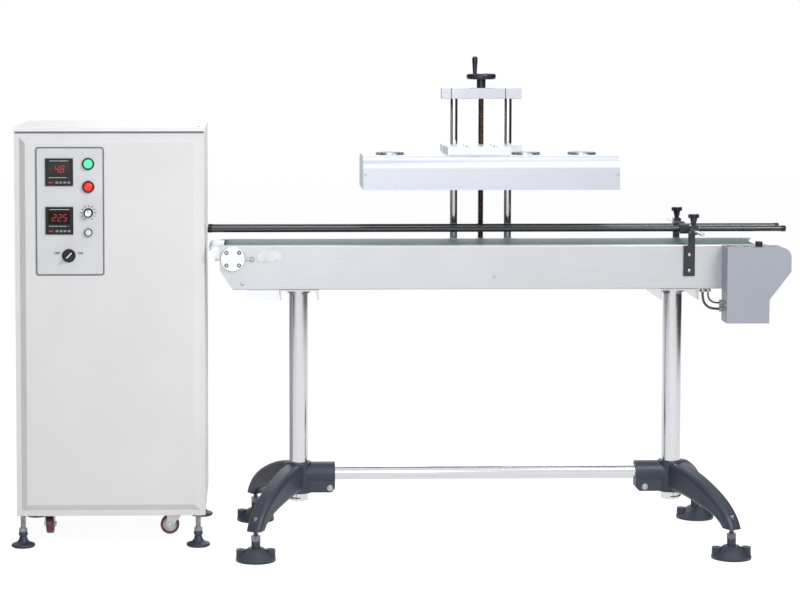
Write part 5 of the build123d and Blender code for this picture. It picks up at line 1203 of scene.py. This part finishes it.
class SEALER_OT_stage(bpy.types.Operator):
    """Set up the floor, the dark sides that only gloss sees, the lights, the world and the camera"""

    bl_idname = "sealer.stage"
    bl_label = "Stage"

    def execute(self, context):
        scene = context.scene
        scene.view_settings.view_transform = "Standard"
        origin = np.array([TAIL[0], TAIL[1], 0.0])
        half = FLOOR_HALF
        outline = np.array([(half, half), (-half, half), (-half, -half), (half, -half)])
        floor = piece("floor", [raised([outline, outline], (-20.0, 0.0), origin, UP)], self.pale_floor(), None)
        cloth = self.shaded_cloth()
        wide, high = DARK_SIDE_Y[1] - DARK_SIDE_Y[0], DARK_SIDE_HEIGHT
        outline = np.array([(wide / 2, high / 2), (-wide / 2, high / 2), (-wide / 2, -high / 2), (wide / 2, -high / 2)])
        axes = np.array([(0, 1, 0), (0, 0, 1), (1, 0, 0)])
        for number, x in enumerate(DARK_SIDE_X):
            centre = origin + (x, sum(DARK_SIDE_Y) / 2, high / 2 + 60.0)
            side = piece("dark_side_%d" % number, [raised([outline, outline], (0.0, 20.0), centre, axes)], cloth, None)
            side.visible_camera = False
            side.visible_diffuse = False
            side.visible_shadow = False
        self.lights(origin)
        self.white_world(scene)
        self.camera(scene, origin)
        return {"FINISHED"}

    def shaded_cloth(self):
        """Cloth that glows from near black beside the object to pale towards the camera."""
        material = bpy.data.materials.new("shaded_cloth")
        material.use_nodes = True
        tree = material.node_tree
        tree.nodes.clear()
        place = add(tree, "TexCoord").outputs["Object"]
        along = add(tree, "SeparateXYZ", {}, {0: place}).outputs["Y"]
        near = (TAIL[1] - 2200.0) * MM
        far = (TAIL[1] + DARK_SIDE_Y[0]) * MM
        level = add(tree, "MapRange", {"From Min": near, "From Max": far, "To Min": 0.03, "To Max": 0.75}, {"Value": along})
        glow = add(tree, "Emission", {}, {"Strength": level.outputs[0]}).outputs[0]
        add(tree, "OutputMaterial", {}, {"Surface": glow})
        return material

    def seen_straight(self, tree):
        """1 for camera, glossy and transmission rays."""
        path = add(tree, "LightPath").outputs
        either = add(tree, "Math", {"operation": "MAXIMUM"}, {0: path["Is Camera Ray"], 1: path["Is Glossy Ray"]})
        return add(tree, "Math", {"operation": "MAXIMUM"}, {0: either.outputs[0], 1: path["Is Transmission Ray"]}).outputs[0]

    def pale_floor(self):
        """Pale painted floor: it shades where the object stands and glows to white where it is seen."""
        material = bpy.data.materials.new("pale_floor_paint")
        material.use_nodes = True
        tree = material.node_tree
        tree.nodes.clear()
        place = add(tree, "TexCoord").outputs["Object"]
        cloud = add(tree, "TexNoise", {"Scale": 2.0, "Detail": 2.0}, {"Vector": place}).outputs[0]
        tint = add(tree, "Mix", {"data_type": "RGBA", 6: (0.80, 0.80, 0.80, 1), 7: (0.78, 0.78, 0.79, 1)}, {0: cloud})
        paint = add(tree, "BsdfDiffuse", {}, {"Color": tint.outputs[2]}).outputs[0]
        glow = add(tree, "Emission", {"Strength": FLOOR_GLOW}).outputs[0]
        share = add(tree, "Math", {"operation": "MULTIPLY", 1: FLOOR_SHARE}, {0: self.seen_straight(tree)}).outputs[0]
        mixed = add(tree, "MixShader", {}, {0: share, 1: paint, 2: glow}).outputs[0]
        add(tree, "OutputMaterial", {}, {"Surface": mixed})
        return material

    def white_world(self, scene):
        """White where it is seen or mirrored, and dimmer as a light."""
        world = bpy.data.worlds.new("white_room")
        world.use_nodes = True
        tree = world.node_tree
        background = tree.nodes["Background"]
        background.inputs["Color"].default_value = (1.0, 1.0, 1.0, 1.0)
        level = add(tree, "MapRange", {"To Min": ROOM_LEVEL, "To Max": 1.0}, {"Value": self.seen_straight(tree)})
        tree.links.new(level.outputs[0], background.inputs["Strength"])
        scene.world = world

    def lights(self, origin):
        """Soft square lamps, each turned towards its target."""
        for name, (place, target, size, watts) in LIGHTS.items():
            light = bpy.data.lights.new(name, "AREA")
            light.size = size * MM
            light.energy = watts
            lamp = bpy.data.objects.new(name, light)
            bpy.context.scene.collection.objects.link(lamp)
            across, up, along = axes_for(np.array(place) - np.array(target))
            turn = Matrix(np.array([across, up, along]).T.tolist()).to_4x4()
            lamp.matrix_world = Matrix.Translation((origin + place) * MM) @ turn

    def camera(self, scene, origin):
        """A long lens at the photograph's height and angle."""
        data = bpy.data.cameras.new("camera")
        data.lens = CAMERA_LENS
        data.sensor_width = 36.0
        data.shift_x, data.shift_y = CAMERA_SHIFT
        data.clip_end = 60.0
        camera = bpy.data.objects.new("camera", data)
        scene.collection.objects.link(camera)
        camera.location = (origin + CAMERA_PLACE) * MM
        camera.rotation_euler = (math.radians(90.0 + CAMERA_PITCH_DEG), 0.0, math.radians(CAMERA_TURN_DEG))
        scene.camera = camera


class SEALER_PT_panel(bpy.types.Panel):
    """The steps that dress the sealer"""

    bl_idname = "SEALER_PT_panel"
    bl_label = "Cap sealer"
    bl_space_type = "VIEW_3D"
    bl_region_type = "UI"
    bl_category = "Cap sealer"

    def draw(self, context):
        column = self.layout.column()
        for operator in OPERATORS:
            column.operator(operator.bl_idname)
        for group in (context.scene.sealer_sizes, context.scene.sealer_colours):
            for name in group.bl_rna.properties.keys():
                if name not in {"rna_type", "name"}:
                    column.prop(group, name)


OPERATORS = (
    SEALER_OT_frame_finishes,
    SEALER_OT_control_pad,
    SEALER_OT_knobs_and_rings,
    SEALER_OT_fasteners,
    SEALER_OT_conveyor_trim,
    SEALER_OT_cabinet_feet,
    SEALER_OT_lift_screw,
    SEALER_OT_leads,
    SEALER_OT_stage,
)
CLASSES = (SealerColours, SealerSizes, *OPERATORS, SEALER_PT_panel)


def register():
    for item in CLASSES:
        bpy.utils.register_class(item)
    bpy.types.Scene.sealer_colours = PointerProperty(type=SealerColours)
    bpy.types.Scene.sealer_sizes = PointerProperty(type=SealerSizes)


def unregister():
    del bpy.types.Scene.sealer_sizes
    del bpy.types.Scene.sealer_colours
    for item in reversed(CLASSES):
        bpy.utils.unregister_class(item)


def main():
    """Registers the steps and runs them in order."""
    register()
    bpy.ops.sealer.frame_finishes()
    bpy.ops.sealer.control_pad()
    bpy.ops.sealer.knobs_and_rings()
    bpy.ops.sealer.fasteners()
    bpy.ops.sealer.conveyor_trim()
    bpy.ops.sealer.cabinet_feet()
    bpy.ops.sealer.lift_screw()
    bpy.ops.sealer.leads()
    bpy.ops.sealer.stage()


if __name__ == "__main__":
    main()
